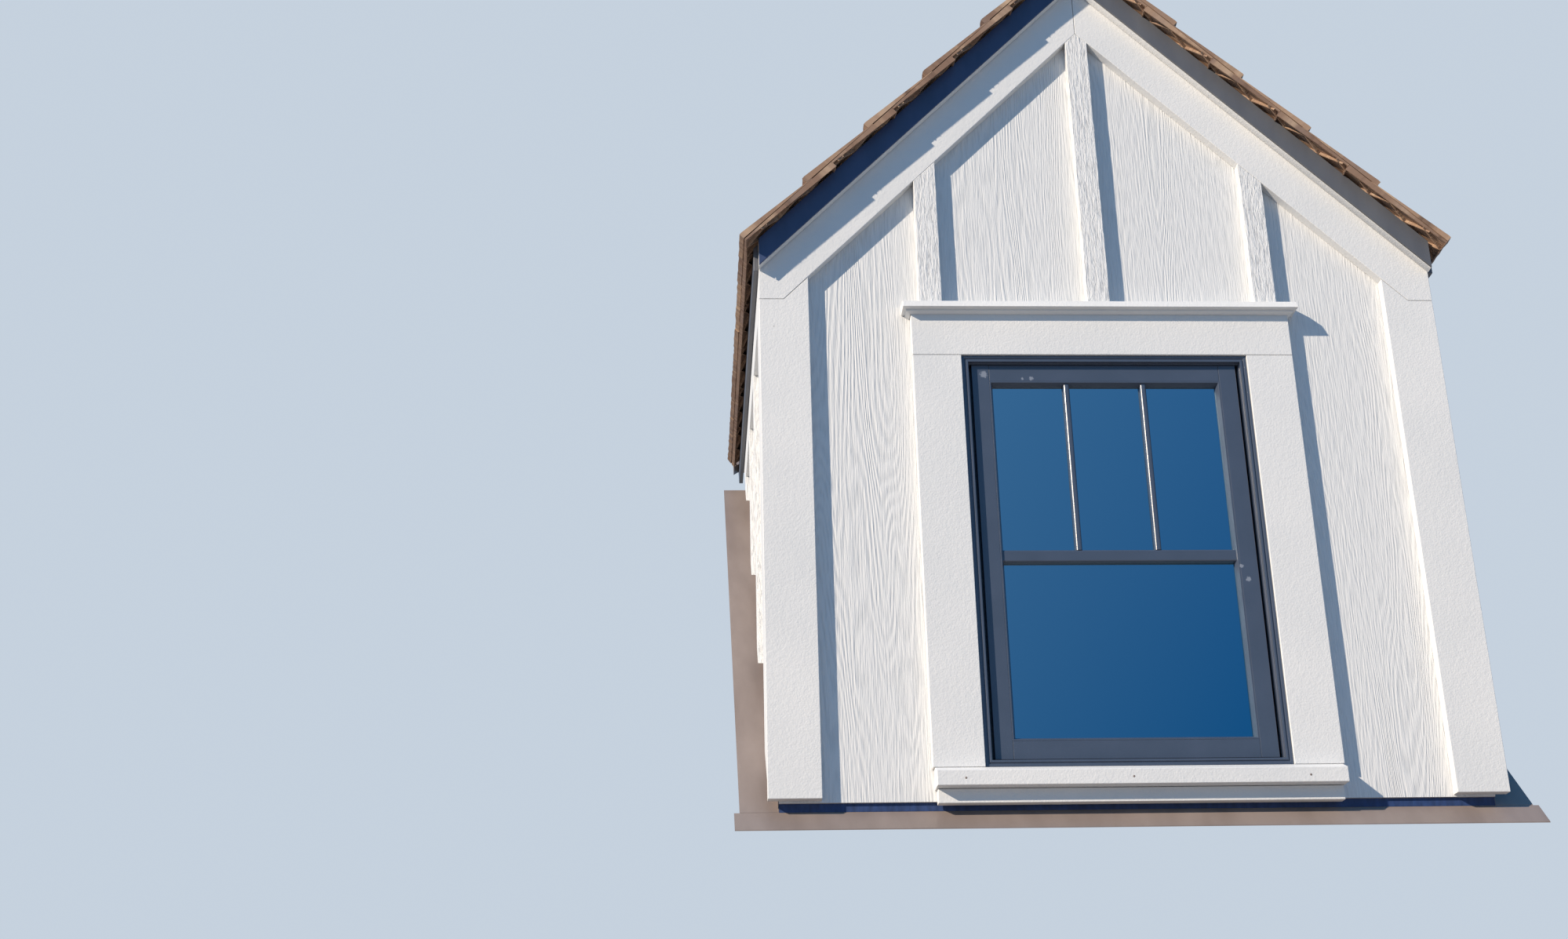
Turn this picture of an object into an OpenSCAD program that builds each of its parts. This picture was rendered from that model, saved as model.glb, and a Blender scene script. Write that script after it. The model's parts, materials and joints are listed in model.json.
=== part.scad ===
// Gable dormer window for a shake roof, with board and batten cladding and one sash.
// The front looks toward -Y. Sizes are in millimetres.
// The design is drawn with x = 0 on the centre line, y = 0 at the front face of the white
// trim boards and z = 0 at the foot of the corner boards. The last step moves it so that
// the origin lies in the middle of the sloping foot of the front wall.

/* [Whole dormer] */
// Width over the corner boards
front_width = 1914; // [1700:2:2200]
// Slope of the dormer's own roof, in degrees
dormer_pitch = 45; // [43:1:46]
// Slope of the main roof that the dormer stands on, in degrees
main_pitch = 45; // [44:1:47]
// Height of the band's tail above the foot of the corner boards
eave_height = 1500; // [1480:2:1560]
// How far the main roof's boarding lies below the foot of the corner boards
deck_drop = 110; // [100:2:130]

/* [Walls] */
// Thickness of the walls with sheathing and lining
wall_thickness = 113; // [100:1:140]
// Thickness of the cladding panels
siding_thickness = 11; // [9:1:13]
// Thickness of the sloping sole plate, square to the roof
sole_thickness = 38; // [30:1:45]
// How far the top of the cheek walls lies above the foot of the band
plate_rise = 8; // [4:1:14]
// How far the front cladding reaches below the foot of the corner boards
cladding_drop = 4; // [2:1:8]
// Height of the cheek cladding's foot, measured plumb from the slope through the corner foot
cladding_rise = 12; // [8:1:20]

/* [White trim] */
// Width of the corner and frieze boards
board_width = 140; // [120:1:150]
// Thickness of the corner and frieze boards on the front
board_thickness = 32; // [28:1:36]
// How far the frieze's lower edge lies below the dark band's, measured plumb
frieze_below_band = 157; // [140:1:170]
// Length of the level part of the seam between corner board and frieze
seam_level = 70; // [50:1:90]
// Width of a batten
batten_width = 64; // [50:1:75]
// Thickness of a batten over the window
gable_batten_thickness = 32; // [28:1:36]
// Thickness of a batten on the cheeks
batten_thickness = 19; // [15:1:22]
// Distance between the battens over the window
gable_batten_pitch = 475; // [440:1:500]
// Distance between the battens on the cheeks
cheek_batten_pitch = 406; // [380:1:420]
// Front edge of the first cheek batten
first_cheek_batten = 484; // [460:1:500]
// Height of the cheek frieze
cheek_frieze_height = 108; // [90:1:120]
// Height of the cheek battens' feet, measured plumb from the slope through the corner foot
batten_rise = 16; // [12:1:24]

/* [Window] */
// Width of the window frame
window_width = 804; // [700:2:840]
// Height of the window frame's foot
window_foot = 85; // [80:1:90]
// Height of the window frame's head
window_head = 1254; // [1230:1:1260]
// Width of the frame's face
frame_face = 20; // [16:1:24]
// Depth of the thin lip in front of the frame's face
frame_lip = 5; // [3:1:8]
// How far the lip is narrower than the face
lip_inset = 7; // [5:1:10]
// How far the frame's front lies behind the trim boards' back
frame_setback = 3; // [1:1:6]
// Depth of the frame from front to back
frame_depth = 85; // [78:1:100]
// Width of the stop behind the sash
stop_width = 18; // [12:1:22]
// Gap between frame and sash
sash_gap = 4; // [3:0.5:5]
// How far the sash lies behind the frame's front
sash_setback = 16; // [12:1:20]
// Width of the sash stiles
sash_stile = 55; // [48:1:60]
// Height of the sash's top rail
sash_top_rail = 51; // [46:1:56]
// Height of the sash's bottom rail
sash_bottom_rail = 56; // [50:1:60]
// Thickness of the sash
sash_thickness = 45; // [40:1:48]
// Thickness of the sealed glass unit
glass_thickness = 18; // [14:1:20]
// How far the glass lies behind the sash's front
glass_setback = 18; // [15:1:22]
// How far the glass reaches into the sash
glass_bite = 7; // [5:1:10]
// Height of the broad bar across the glass
check_rail_height = 34; // [30:1:38]
// Height of the middle of that bar
check_rail_level = 669; // [650:1:690]
// How far the broad bar lies behind the sash's front
bar_setback = 5; // [3:1:8]
// Bevel on the front edges of the broad bar
bar_bevel = 7; // [4:1:9]

/* [Casing and sill] */
// Width of the casing boards
casing_width = 132; // [125:1:140]
// Thickness of the casing boards
casing_thickness = 32; // [28:1:36]
// Height of the head casing
head_casing_height = 121; // [110:1:130]
// Thickness of the cap on the head casing at its back
head_cap_thickness = 30; // [25:1:35]
// How far the cap's top falls toward its front edge
head_cap_fall = 7; // [4:1:10]
// How far the upper edge of the cap's front leans back
head_cap_lean = 11; // [6:1:14]
// How far the cap reaches past the casing at each end
head_cap_reach = 24; // [18:1:30]
// How far the cap stands out from the cladding
head_cap_depth = 64; // [58:1:75]
// Height of the bed moulding under the cap
bed_height = 14; // [10:1:18]
// How far the bed moulding stands out from the casing
bed_depth = 14; // [10:1:17]
// Height of the bed moulding's upright edge
bed_edge = 5; // [3:1:7]
// Height from the sill's underside to the window frame
sill_height = 62; // [55:1:70]
// Height of the sill's upright nose
sill_nose = 40; // [34:1:44]
// How far the sill stands out from the cladding
sill_depth = 67; // [55:1:75]
// How far the sill's ends lie in from the casing's outer edges
sill_inset = 5; // [3:1:8]
// Height of the apron board under the sill
apron_height = 38; // [30:1:42]
// How far the apron board's ends lie in from the sill's
apron_inset = 5; // [3:1:10]

/* [Roof edge] */
// Height of the dark band, measured plumb
band_height = 85; // [75:1:95]
// How far the band stands in front of the frieze
band_thickness = 36; // [30:1:42]
// Thickness of the eave fascia
fascia_thickness = 13; // [11:1:16]

/* [Roof covering] */
// Overhang of the shakes beyond the wall corner at the eave
eave_overhang = 31; // [25:1:45]
// Overhang of the shakes in front of the trim at the gable
rake_overhang = 71; // [60:1:85]
// Exposed length of a course of shakes, along the slope
course_exposure = 254; // [245:1:262]
// Thickness of the covering at the lower edge of a course
butt_thickness = 34; // [30:1:38]
// Thickness of the covering just above the next course's lower edge
lap_thickness = 16; // [12:1:20]
// Width of each side of the ridge saddle, along the slope
cap_width = 140; // [125:1:160]
// Height of the ridge saddle over the butts, square to the slope
cap_thickness = 20; // [16:1:24]
// Distance from the valley line to the shakes' cut edge, measured along the ridge
valley_gap = 71; // [60:1:85]

/* [Framing] */
// Thickness of the roof boarding
deck_thickness = 16; // [12:1:19]
// Depth of a rafter
rafter_depth = 89; // [85:1:100]
// Thickness of a rafter
rafter_thickness = 38; // [36:1:45]
// Distance between the rafters
rafter_pitch = 406; // [390:1:420]
// Clear distance from the front wall to the first rafter
first_bay = 350; // [330:1:380]
// Thickness of the ridge board
ridge_thickness = 38; // [36:1:45]
// Depth of the ridge board
ridge_depth = 184; // [170:1:200]

/* [Flashing] */
// Thickness of the flashing metal
metal = 2; // [1.5:0.1:2.5]
// Length of the apron flashing's sloping leg, along the slope
apron_leg = 68; // [60:1:80]
// How far the apron flashing reaches past the corner boards
apron_reach = 84; // [70:1:95]
// Depth at which the apron flashing's sloping leg meets the line of the trim's back
apron_bend = 35; // [30:1:40]
// Height of the apron flashing's upright leg over the foot of the corner boards
apron_upstand = 50; // [40:1:60]
// How far the flashings on the main roof lie below the corner foot, measured plumb
flashing_drop = 70; // [60:1:80]
// Width of the step flashings' leg on the main roof
step_leg = 100; // [90:1:120]
// How far the step flashings reach up behind the cheek cladding
step_cover = 48; // [40:1:60]
// Width of the valley flashing's leg on the main roof, measured along the ridge
valley_leg = 150; // [130:1:170]

/* [Hidden] */
$fn = 24;
tan_d = tan(dormer_pitch);
tan_m = tan(main_pitch);
cos_d = cos(dormer_pitch);
cos_m = cos(main_pitch);
sin_d = sin(dormer_pitch);
half = front_width / 2;

// planes of the dormer roof, each given by its height over the centre line
band_low = eave_height + half * tan_d;
deck_top = band_low + band_height;
deck_low = deck_top - deck_thickness / cos_d;
rafter_low = deck_low - rafter_depth / cos_d;
frieze_low = band_low - frieze_below_band;

// the front wall, from front to back
siding_face = board_thickness;
wall_face = siding_face + siding_thickness;
wall_back = wall_face + wall_thickness;

// the cheeks, from outside to inside
cheek_siding_face = half - batten_thickness;
cheek_face = cheek_siding_face - siding_thickness;
cheek_inside = cheek_face - wall_thickness;
plate_top = eave_height + plate_rise;
side_board_depth = board_width - board_thickness;
cheek_frieze_foot = plate_top - cheek_frieze_height;

// the seam between corner board and frieze runs level, then turns up with the rake
seam_x = half - seam_level;
seam_z = frieze_low - seam_x * tan_d;

// slopes over the main roof's boarding, measured plumb
sole_rise = sole_thickness / cos_m;
cladding_line = deck_drop + cladding_rise;
batten_line = deck_drop + batten_rise;

// the window, from front to back and from frame to glass
win_half = window_width / 2;
frame_front = siding_face + frame_setback;
frame_back = frame_front + frame_depth;
sash_front = frame_front + sash_setback;
sash_back = sash_front + sash_thickness;
glass_front = sash_front + glass_setback;
glass_back = glass_front + glass_thickness;
bar_front = sash_front + bar_setback;
sash_half = win_half - frame_face - sash_gap;
sash_low = window_foot + frame_face + sash_gap;
sash_high = window_head - frame_face - sash_gap;
glass_half = sash_half - sash_stile + glass_bite;
glass_low = sash_low + sash_bottom_rail - glass_bite;
glass_high = sash_high - sash_top_rail + glass_bite;

// casing, cap, sill and apron
casing_out = win_half + casing_width;
casing_face = siding_face - casing_thickness;
cap_low = window_head + head_casing_height;
cap_high = cap_low + head_cap_thickness;
cap_half = casing_out + head_cap_reach;
cap_front = siding_face - head_cap_depth;
bed_front = casing_face - bed_depth;
bed_out = casing_out + bed_depth;
sill_low = window_foot - sill_height;
sill_nose_high = sill_low + sill_nose;
sill_nose_front = siding_face - sill_depth;
sill_half = casing_out - sill_inset;
apron_low = sill_low - apron_height;
apron_half = sill_half - apron_inset;

// rafters, ridge and cheek battens
ridge_half = ridge_thickness / 2;
rafter_first = wall_back + first_bay;
rafter_end = main_y(rafter_low, 0);
rafter_count = floor((rafter_end - rafter_first) / rafter_pitch) + 1;
cheek_batten_end = main_y(cheek_frieze_foot, batten_line) - batten_width;
cheek_batten_count = floor((cheek_batten_end - first_cheek_batten) / cheek_batten_pitch) + 1;

// shakes and valleys
eave_x = half + eave_overhang;
valley_zero = (deck_top + deck_drop) / tan_m;
course_count = ceil(eave_x / cos_d / course_exposure);

// how far a cutting shape reaches past what it cuts, and limits well outside the dormer
past = 1;
near = -600;
far = 3400;
sky = 4200;

// middle of the front wall's sloping foot
origin_y = (wall_face + wall_back) / 2;
origin_z = origin_y * tan_m - deck_drop;

// colours
wall_tone = "#d8d2c4";
lumber_tone = "#c39b66";
trim_tone = "#f4f5f5";
cladding_tone = "#eceded";
sash_tone = "#3a3f49";
shake_tone = "#8d6f5c";
metal_tone = "#877b75";

// Helpers

// Height of the main roof's boarding at depth y.
function main_z(y) = y * tan_m - deck_drop;

// Depth at which a line that runs rise above the main roof's boarding reaches height z.
function main_y(z, rise) = (z + deck_drop - rise) / tan_m;

// Extrudes a shape drawn in x and z from y0 to y1.
module along_y(y0, y1) {
    translate([0, y1, 0])
        rotate([90, 0, 0])
            linear_extrude(height = y1 - y0)
                children();
}

// Extrudes a shape drawn in y and z from x0 to x1.
module along_x(x0, x1) {
    translate([x0, 0, 0])
        rotate([90, 0, 90])
            linear_extrude(height = x1 - x0)
                children();
}

// A block given by its corners.
module block(x0, x1, y0, y1, z0, z1) {
    translate([x0, y0, z0])
        cube([x1 - x0, y1 - y0, z1 - z0]);
}

// The right-hand side as drawn, or the left-hand side mirrored.
module on_side(side) {
    mirror([side < 0 ? 1 : 0, 0, 0])
        children();
}

// Everything behind and above the main roof's boarding plus rise.
module above_main(rise) {
    along_x(-2 * half, 2 * half)
        polygon([
            [near, main_z(near) + rise],
            [far, main_z(far) + rise],
            [far, sky],
            [near, sky]
        ]);
}

// A strip in plan between two lines parallel to the valley on the right-hand side.
module valley_strip(from, to, low, high) {
    translate([0, 0, low])
        linear_extrude(height = high - low)
            polygon([
                [0, valley_zero + from],
                [0, valley_zero + to],
                [front_width, valley_zero + to - front_width * tan_d / tan_m],
                [front_width, valley_zero + from - front_width * tan_d / tan_m]
            ]);
}

// Walls and framing

module sole_plate() {
    low_y = main_y(plate_top, 0);
    high_y = main_y(plate_top, sole_rise);
    color(lumber_tone)
        union() {
            along_x(-cheek_face, cheek_face)
                polygon([
                    [wall_face, main_z(wall_face)],
                    [wall_back, main_z(wall_back)],
                    [wall_back, main_z(wall_back) + sole_rise],
                    [wall_face, main_z(wall_face) + sole_rise]
                ]);
            for (side = [-1, 1])
                on_side(side)
                    along_x(cheek_inside, cheek_face)
                        polygon([
                            [wall_back, main_z(wall_back)],
                            [low_y, plate_top],
                            [high_y, plate_top],
                            [wall_back, main_z(wall_back) + sole_rise]
                        ]);
        }
}

// A piece of the front wall between x0 and x1 that stands on the sole plate.
module wall_piece(x0, x1, top) {
    color(wall_tone)
        along_x(x0, x1)
            polygon([
                [wall_face, main_z(wall_face) + sole_rise],
                [wall_back, main_z(wall_back) + sole_rise],
                [wall_back, top],
                [wall_face, top]
            ]);
}

module front_wall_left() {
    wall_piece(-cheek_face, -win_half, window_head);
}

module front_wall_right() {
    wall_piece(win_half, cheek_face, window_head);
}

module front_wall_below() {
    color(wall_tone)
        along_x(-win_half, win_half)
            polygon([
                [wall_face, main_z(wall_face) + sole_rise],
                [main_y(window_foot, sole_rise), window_foot],
                [wall_face, window_foot]
            ]);
}

module front_gable_wall() {
    color(wall_tone)
        along_y(wall_face, wall_back)
            polygon([
                [-cheek_face, window_head],
                [cheek_face, window_head],
                [cheek_face, deck_low - cheek_face * tan_d],
                [0, deck_low],
                [-cheek_face, deck_low - cheek_face * tan_d]
            ]);
}

module cheek_wall(side) {
    color(wall_tone)
        on_side(side)
            along_x(cheek_inside, cheek_face)
                polygon([
                    [wall_back, main_z(wall_back) + sole_rise],
                    [main_y(plate_top, sole_rise), plate_top],
                    [wall_back, plate_top]
                ]);
}

module cheek_wall_left() {
    cheek_wall(-1);
}

module cheek_wall_right() {
    cheek_wall(1);
}

module ridge_board() {
    top = deck_low - ridge_half * tan_d;
    color(lumber_tone)
        intersection() {
            block(-ridge_half, ridge_half, wall_back, far, top - ridge_depth, top);
            above_main(0);
        }
}

// One rafter of the right-hand slope, with a level seat on the cheek wall.
module rafter(y0) {
    seat_x = (rafter_low - plate_top) / tan_d;
    along_y(y0, y0 + rafter_thickness)
        polygon([
            [ridge_half, deck_low - ridge_half * tan_d],
            [half, deck_low - half * tan_d],
            [half, plate_top],
            [seat_x, plate_top],
            [ridge_half, rafter_low - ridge_half * tan_d]
        ]);
}

module rafters() {
    color(lumber_tone)
        for (side = [-1, 1])
            on_side(side)
                for (i = [0 : rafter_count - 1])
                    intersection() {
                        rafter(rafter_first + i * rafter_pitch);
                        above_main(0);
                    }
}

module roof_deck(side) {
    color(lumber_tone)
        on_side(side)
            intersection() {
                along_y(0, far)
                    polygon([
                        [0, deck_low],
                        [half, deck_low - half * tan_d],
                        [half, deck_top - half * tan_d],
                        [0, deck_top]
                    ]);
                above_main(0);
            }
}

module roof_deck_left() {
    roof_deck(-1);
}

module roof_deck_right() {
    roof_deck(1);
}

// Cladding

// Room behind the foot of the front cladding for the apron flashing's upright leg.
module flashing_rebate() {
    block(-half, half, wall_face - metal, wall_face + past, near, apron_upstand);
}

module front_panel(x0, x1, z0, z1) {
    color(cladding_tone)
        difference() {
            block(x0, x1, siding_face, wall_face, z0, z1);
            flashing_rebate();
        }
}

module siding_left() {
    front_panel(-cheek_face, -win_half, -cladding_drop, window_head);
}

module siding_right() {
    front_panel(win_half, cheek_face, -cladding_drop, window_head);
}

module siding_below() {
    front_panel(-win_half, win_half, -cladding_drop, window_foot);
}

module siding_above() {
    color(cladding_tone)
        along_y(siding_face, wall_face)
            polygon([
                [-cheek_face, window_head],
                [cheek_face, window_head],
                [cheek_face, deck_low - cheek_face * tan_d],
                [0, deck_low],
                [-cheek_face, deck_low - cheek_face * tan_d]
            ]);
}

module corner_board(side) {
    inner = half - board_width;
    color(trim_tone)
        on_side(side)
            along_y(0, board_thickness)
                polygon([
                    [inner, 0],
                    [half, 0],
                    [half, seam_z],
                    [seam_x, seam_z],
                    [inner, frieze_low - inner * tan_d]
                ]);
}

module corner_board_left() {
    corner_board(-1);
}

module corner_board_right() {
    corner_board(1);
}

module side_corner_boards() {
    back = board_thickness + side_board_depth;
    color(trim_tone)
        for (side = [-1, 1])
            on_side(side)
                along_x(cheek_siding_face, half)
                    polygon([
                        [board_thickness, main_z(board_thickness) + batten_line],
                        [back, main_z(back) + batten_line],
                        [back, plate_top],
                        [board_thickness, plate_top]
                    ]);
}

module rake_frieze(side) {
    color(trim_tone)
        on_side(side)
            along_y(0, board_thickness)
                polygon([
                    [0, frieze_low],
                    [seam_x, seam_z],
                    [half, seam_z],
                    [half, deck_low - half * tan_d],
                    [0, deck_low]
                ]);
}

module rake_frieze_left() {
    rake_frieze(-1);
}

module rake_frieze_right() {
    rake_frieze(1);
}

// A batten over the window, its top cut to the rake where x is its middle.
module gable_batten(x) {
    left = x - batten_width / 2;
    right = x + batten_width / 2;
    along_y(siding_face - gable_batten_thickness, siding_face)
        polygon([
            [left, cap_high],
            [right, cap_high],
            [right, frieze_low - abs(right) * tan_d],
            [x, frieze_low - abs(x) * tan_d],
            [left, frieze_low - abs(left) * tan_d]
        ]);
}

module gable_battens() {
    color(cladding_tone)
        for (i = [-1, 0, 1])
            gable_batten(i * gable_batten_pitch);
}

module cheek_siding(side) {
    color(cladding_tone)
        on_side(side)
            difference() {
                along_x(cheek_face, cheek_siding_face)
                    polygon([
                        [siding_face, main_z(siding_face) + cladding_line],
                        [main_y(plate_top, cladding_line), plate_top],
                        [siding_face, plate_top]
                    ]);
                along_x(cheek_face - past, cheek_face + metal)
                    polygon([
                        [near, main_z(near)],
                        [far, main_z(far)],
                        [far, main_z(far) + cladding_line + step_cover],
                        [near, main_z(near) + cladding_line + step_cover]
                    ]);
            }
}

module cheek_siding_left() {
    cheek_siding(-1);
}

module cheek_siding_right() {
    cheek_siding(1);
}

module cheek_friezes() {
    front = board_thickness + side_board_depth;
    color(trim_tone)
        for (side = [-1, 1])
            on_side(side)
                along_x(cheek_siding_face, half)
                    polygon([
                        [front, cheek_frieze_foot],
                        [main_y(cheek_frieze_foot, batten_line), cheek_frieze_foot],
                        [main_y(plate_top, batten_line), plate_top],
                        [front, plate_top]
                    ]);
}

module cheek_battens() {
    color(cladding_tone)
        for (side = [-1, 1])
            on_side(side)
                for (i = [0 : cheek_batten_count - 1])
                    let (y0 = first_cheek_batten + i * cheek_batten_pitch, y1 = y0 + batten_width)
                        along_x(cheek_siding_face, half)
                            polygon([
                                [y0, main_z(y0) + batten_line],
                                [y1, main_z(y1) + batten_line],
                                [y1, cheek_frieze_foot],
                                [y0, cheek_frieze_foot]
                            ]);
}

// Window

module casing_side(side) {
    color(trim_tone)
        on_side(side)
            block(win_half, casing_out, casing_face, siding_face, window_foot, window_head);
}

module casing_left() {
    casing_side(-1);
}

module casing_right() {
    casing_side(1);
}

module casing_head() {
    color(trim_tone)
        block(-casing_out, casing_out, casing_face, siding_face, window_head, cap_low);
}

// The moulding under the cap, mitred round both corners of the head casing.
module bed_moulding() {
    low = cap_low - bed_height;
    edge = cap_low - bed_edge;
    difference() {
        intersection() {
            along_x(-bed_out, bed_out)
                polygon([
                    [casing_face, low],
                    [siding_face, low],
                    [siding_face, cap_low],
                    [bed_front, cap_low],
                    [bed_front, edge]
                ]);
            along_y(bed_front, siding_face)
                polygon([
                    [-casing_out, low],
                    [casing_out, low],
                    [bed_out, edge],
                    [bed_out, cap_low],
                    [-bed_out, cap_low],
                    [-bed_out, edge]
                ]);
        }
        block(-casing_out, casing_out, casing_face, siding_face + 1, low - 1, cap_low + 1);
    }
}

module head_cap() {
    color(trim_tone)
        union() {
            along_x(-cap_half, cap_half)
                polygon([
                    [cap_front, cap_low],
                    [siding_face, cap_low],
                    [siding_face, cap_high],
                    [casing_face, cap_high],
                    [cap_front + head_cap_lean, cap_high - head_cap_fall]
                ]);
            bed_moulding();
        }
}

module window_sill() {
    color(trim_tone)
        along_x(-sill_half, sill_half)
            polygon([
                [sill_nose_front, sill_low],
                [siding_face, sill_low],
                [siding_face, window_foot],
                [casing_face, window_foot],
                [sill_nose_front, sill_nose_high]
            ]);
}

module window_apron() {
    color(trim_tone)
        block(-apron_half, apron_half, casing_face, siding_face, apron_low, sill_low);
}

// A rectangle in x and z, given by its half width.
module opening(x_out, z_low, z_high) {
    translate([-x_out, z_low])
        square([2 * x_out, z_high - z_low]);
}

// One depth of the window frame, with members of the given width.
module frame_ring(y0, y1, width) {
    along_y(y0, y1)
        difference() {
            opening(win_half, window_foot, window_head);
            opening(win_half - width, window_foot + width, window_head - width);
        }
}

module window_frame() {
    color(sash_tone)
        union() {
            frame_ring(frame_front, frame_front + frame_lip, frame_face - lip_inset);
            frame_ring(frame_front + frame_lip, sash_back, frame_face);
            frame_ring(sash_back, frame_back, frame_face + stop_width);
        }
}

// The sealed glass unit, which the sash's groove also fits.
module glass_unit() {
    along_y(glass_front, glass_back)
        opening(glass_half, glass_low, glass_high);
}

module window_sash() {
    color(sash_tone)
        difference() {
            along_y(sash_front, sash_back)
                difference() {
                    opening(sash_half, sash_low, sash_high);
                    opening(
                        sash_half - sash_stile,
                        sash_low + sash_bottom_rail,
                        sash_high - sash_top_rail
                    );
                }
            glass_unit();
        }
}

module window_glass() {
    color("#3b6f9e", 0.5)
        glass_unit();
}

module check_rail() {
    low = check_rail_level - check_rail_height / 2;
    high = check_rail_level + check_rail_height / 2;
    color(sash_tone)
        along_x(-sash_half + sash_stile, sash_half - sash_stile)
            polygon([
                [glass_front, low],
                [glass_front, high],
                [bar_front + bar_bevel, high],
                [bar_front, high - bar_bevel],
                [bar_front, low + bar_bevel],
                [bar_front + bar_bevel, low]
            ]);
}

// Roof edge and covering

module rake_band(side) {
    color("#58595c")
        on_side(side)
            along_y(-band_thickness, 0)
                polygon([
                    [0, band_low],
                    [half, band_low - half * tan_d],
                    [half, deck_top - half * tan_d],
                    [0, deck_top]
                ]);
}

module rake_band_left() {
    rake_band(-1);
}

module rake_band_right() {
    rake_band(1);
}

module eave_fascias() {
    outer = half + fascia_thickness;
    color("#6a6c70")
        for (side = [-1, 1])
            on_side(side)
                intersection() {
                    along_y(0, far)
                        polygon([
                            [half, eave_height],
                            [outer, eave_height],
                            [outer, deck_top - outer * tan_d],
                            [half, deck_top - half * tan_d]
                        ]);
                    above_main(0);
                }
}

// Point at distance s up the slope from the eave edge and height h over the boarding.
function slope_point(s, h) = [
    eave_x - s * cos_d + h * sin_d,
    deck_top - eave_x * tan_d + s * sin_d + h * cos_d
];

// Saw-toothed outline of the shake courses on the right-hand slope.
module shake_outline() {
    intersection() {
        polygon(concat(
            [for (i = [0 : course_count]) each [
                slope_point(i * course_exposure, i == 0 ? 0 : lap_thickness),
                slope_point(i * course_exposure, butt_thickness)
            ]],
            [slope_point((course_count + 1) * course_exposure, lap_thickness)],
            [slope_point((course_count + 1) * course_exposure, 0)]
        ));
        square([front_width, sky]);
    }
}

module roof_shakes(side) {
    color(shake_tone)
        on_side(side)
            intersection() {
                along_y(-rake_overhang, far)
                    shake_outline();
                valley_strip(-sky, -valley_gap, 0, sky);
            }
}

module roof_shakes_left() {
    roof_shakes(-1);
}

module roof_shakes_right() {
    roof_shakes(1);
}

// Saddle over the ridge. It is drawn from inside the courses, which are cut out of it.
module cap_outline() {
    run = cap_width * cos_d;
    foot = lap_thickness / 2;
    lift = butt_thickness + cap_thickness;
    edge = deck_top - run * tan_d;
    difference() {
        polygon([
            [0, deck_top + foot / cos_d],
            [run + foot * sin_d, edge + foot * cos_d],
            [run + lift * sin_d, edge + lift * cos_d],
            [0, deck_top + lift / cos_d],
            [-run - lift * sin_d, edge + lift * cos_d],
            [-run - foot * sin_d, edge + foot * cos_d]
        ]);
        shake_outline();
        mirror([1, 0])
            shake_outline();
    }
}

module ridge_cap() {
    color(shake_tone)
        intersection() {
            along_y(-rake_overhang, far)
                cap_outline();
            linear_extrude(height = sky)
                polygon([
                    [0, valley_zero - valley_gap],
                    [half, valley_zero - valley_gap - half * tan_d / tan_m],
                    [half, near],
                    [-half, near],
                    [-half, valley_zero - valley_gap - half * tan_d / tan_m]
                ]);
        }
}

// Flashings

module apron_flashing() {
    t = metal / cos_m;
    yf = apron_bend - apron_leg * cos_m;
    y_up = wall_face - metal;
    z_up = y_up * tan_m - flashing_drop;
    color(metal_tone)
        union() {
            along_x(-half - apron_reach, half + apron_reach)
                polygon([
                    [yf, yf * tan_m - flashing_drop],
                    [y_up, z_up],
                    [y_up, z_up + t],
                    [yf, yf * tan_m - flashing_drop + t]
                ]);
            along_x(-cheek_face, cheek_face)
                polygon([
                    [y_up, z_up],
                    [wall_face, z_up],
                    [wall_face, apron_upstand],
                    [y_up, apron_upstand]
                ]);
        }
}

module step_flashings() {
    t = metal / cos_m;
    y0 = wall_face;
    y1 = main_y(plate_top, cladding_line);
    color(metal_tone)
        for (side = [-1, 1])
            on_side(side)
                union() {
                    along_x(cheek_face, cheek_face + step_leg)
                        polygon([
                            [y0, y0 * tan_m - flashing_drop],
                            [y1, y1 * tan_m - flashing_drop],
                            [y1, y1 * tan_m - flashing_drop + t],
                            [y0, y0 * tan_m - flashing_drop + t]
                        ]);
                    along_x(cheek_face, cheek_face + metal)
                        polygon([
                            [y0, y0 * tan_m - flashing_drop],
                            [y1, y1 * tan_m - flashing_drop],
                            [y1, y1 * tan_m + cladding_rise],
                            [y1 - step_cover / tan_m, y1 * tan_m + cladding_rise],
                            [y0, y0 * tan_m + cladding_rise + step_cover]
                        ]);
                }
}

module valley_flashing() {
    color(metal_tone)
        for (side = [-1, 1])
            on_side(side)
                union() {
                    intersection() {
                        along_y(near, far)
                            polygon([
                                [0, deck_top],
                                [eave_x, deck_top - eave_x * tan_d],
                                [eave_x, deck_top - eave_x * tan_d + metal / cos_d],
                                [0, deck_top + metal / cos_d]
                            ]);
                        valley_strip(-valley_gap, 0, 0, sky);
                        above_main(0);
                    }
                    intersection() {
                        along_x(0, eave_x)
                            polygon([
                                [near, main_z(near)],
                                [far, main_z(far)],
                                [far, main_z(far) + metal / cos_m],
                                [near, main_z(near) + metal / cos_m]
                            ]);
                        valley_strip(0, valley_leg, 0, sky);
                    }
                }
}

// Moves a piece so that the origin lies on the sloping foot of the front wall.
module placed() {
    translate([0, -origin_y, -origin_z])
        children();
}

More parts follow.
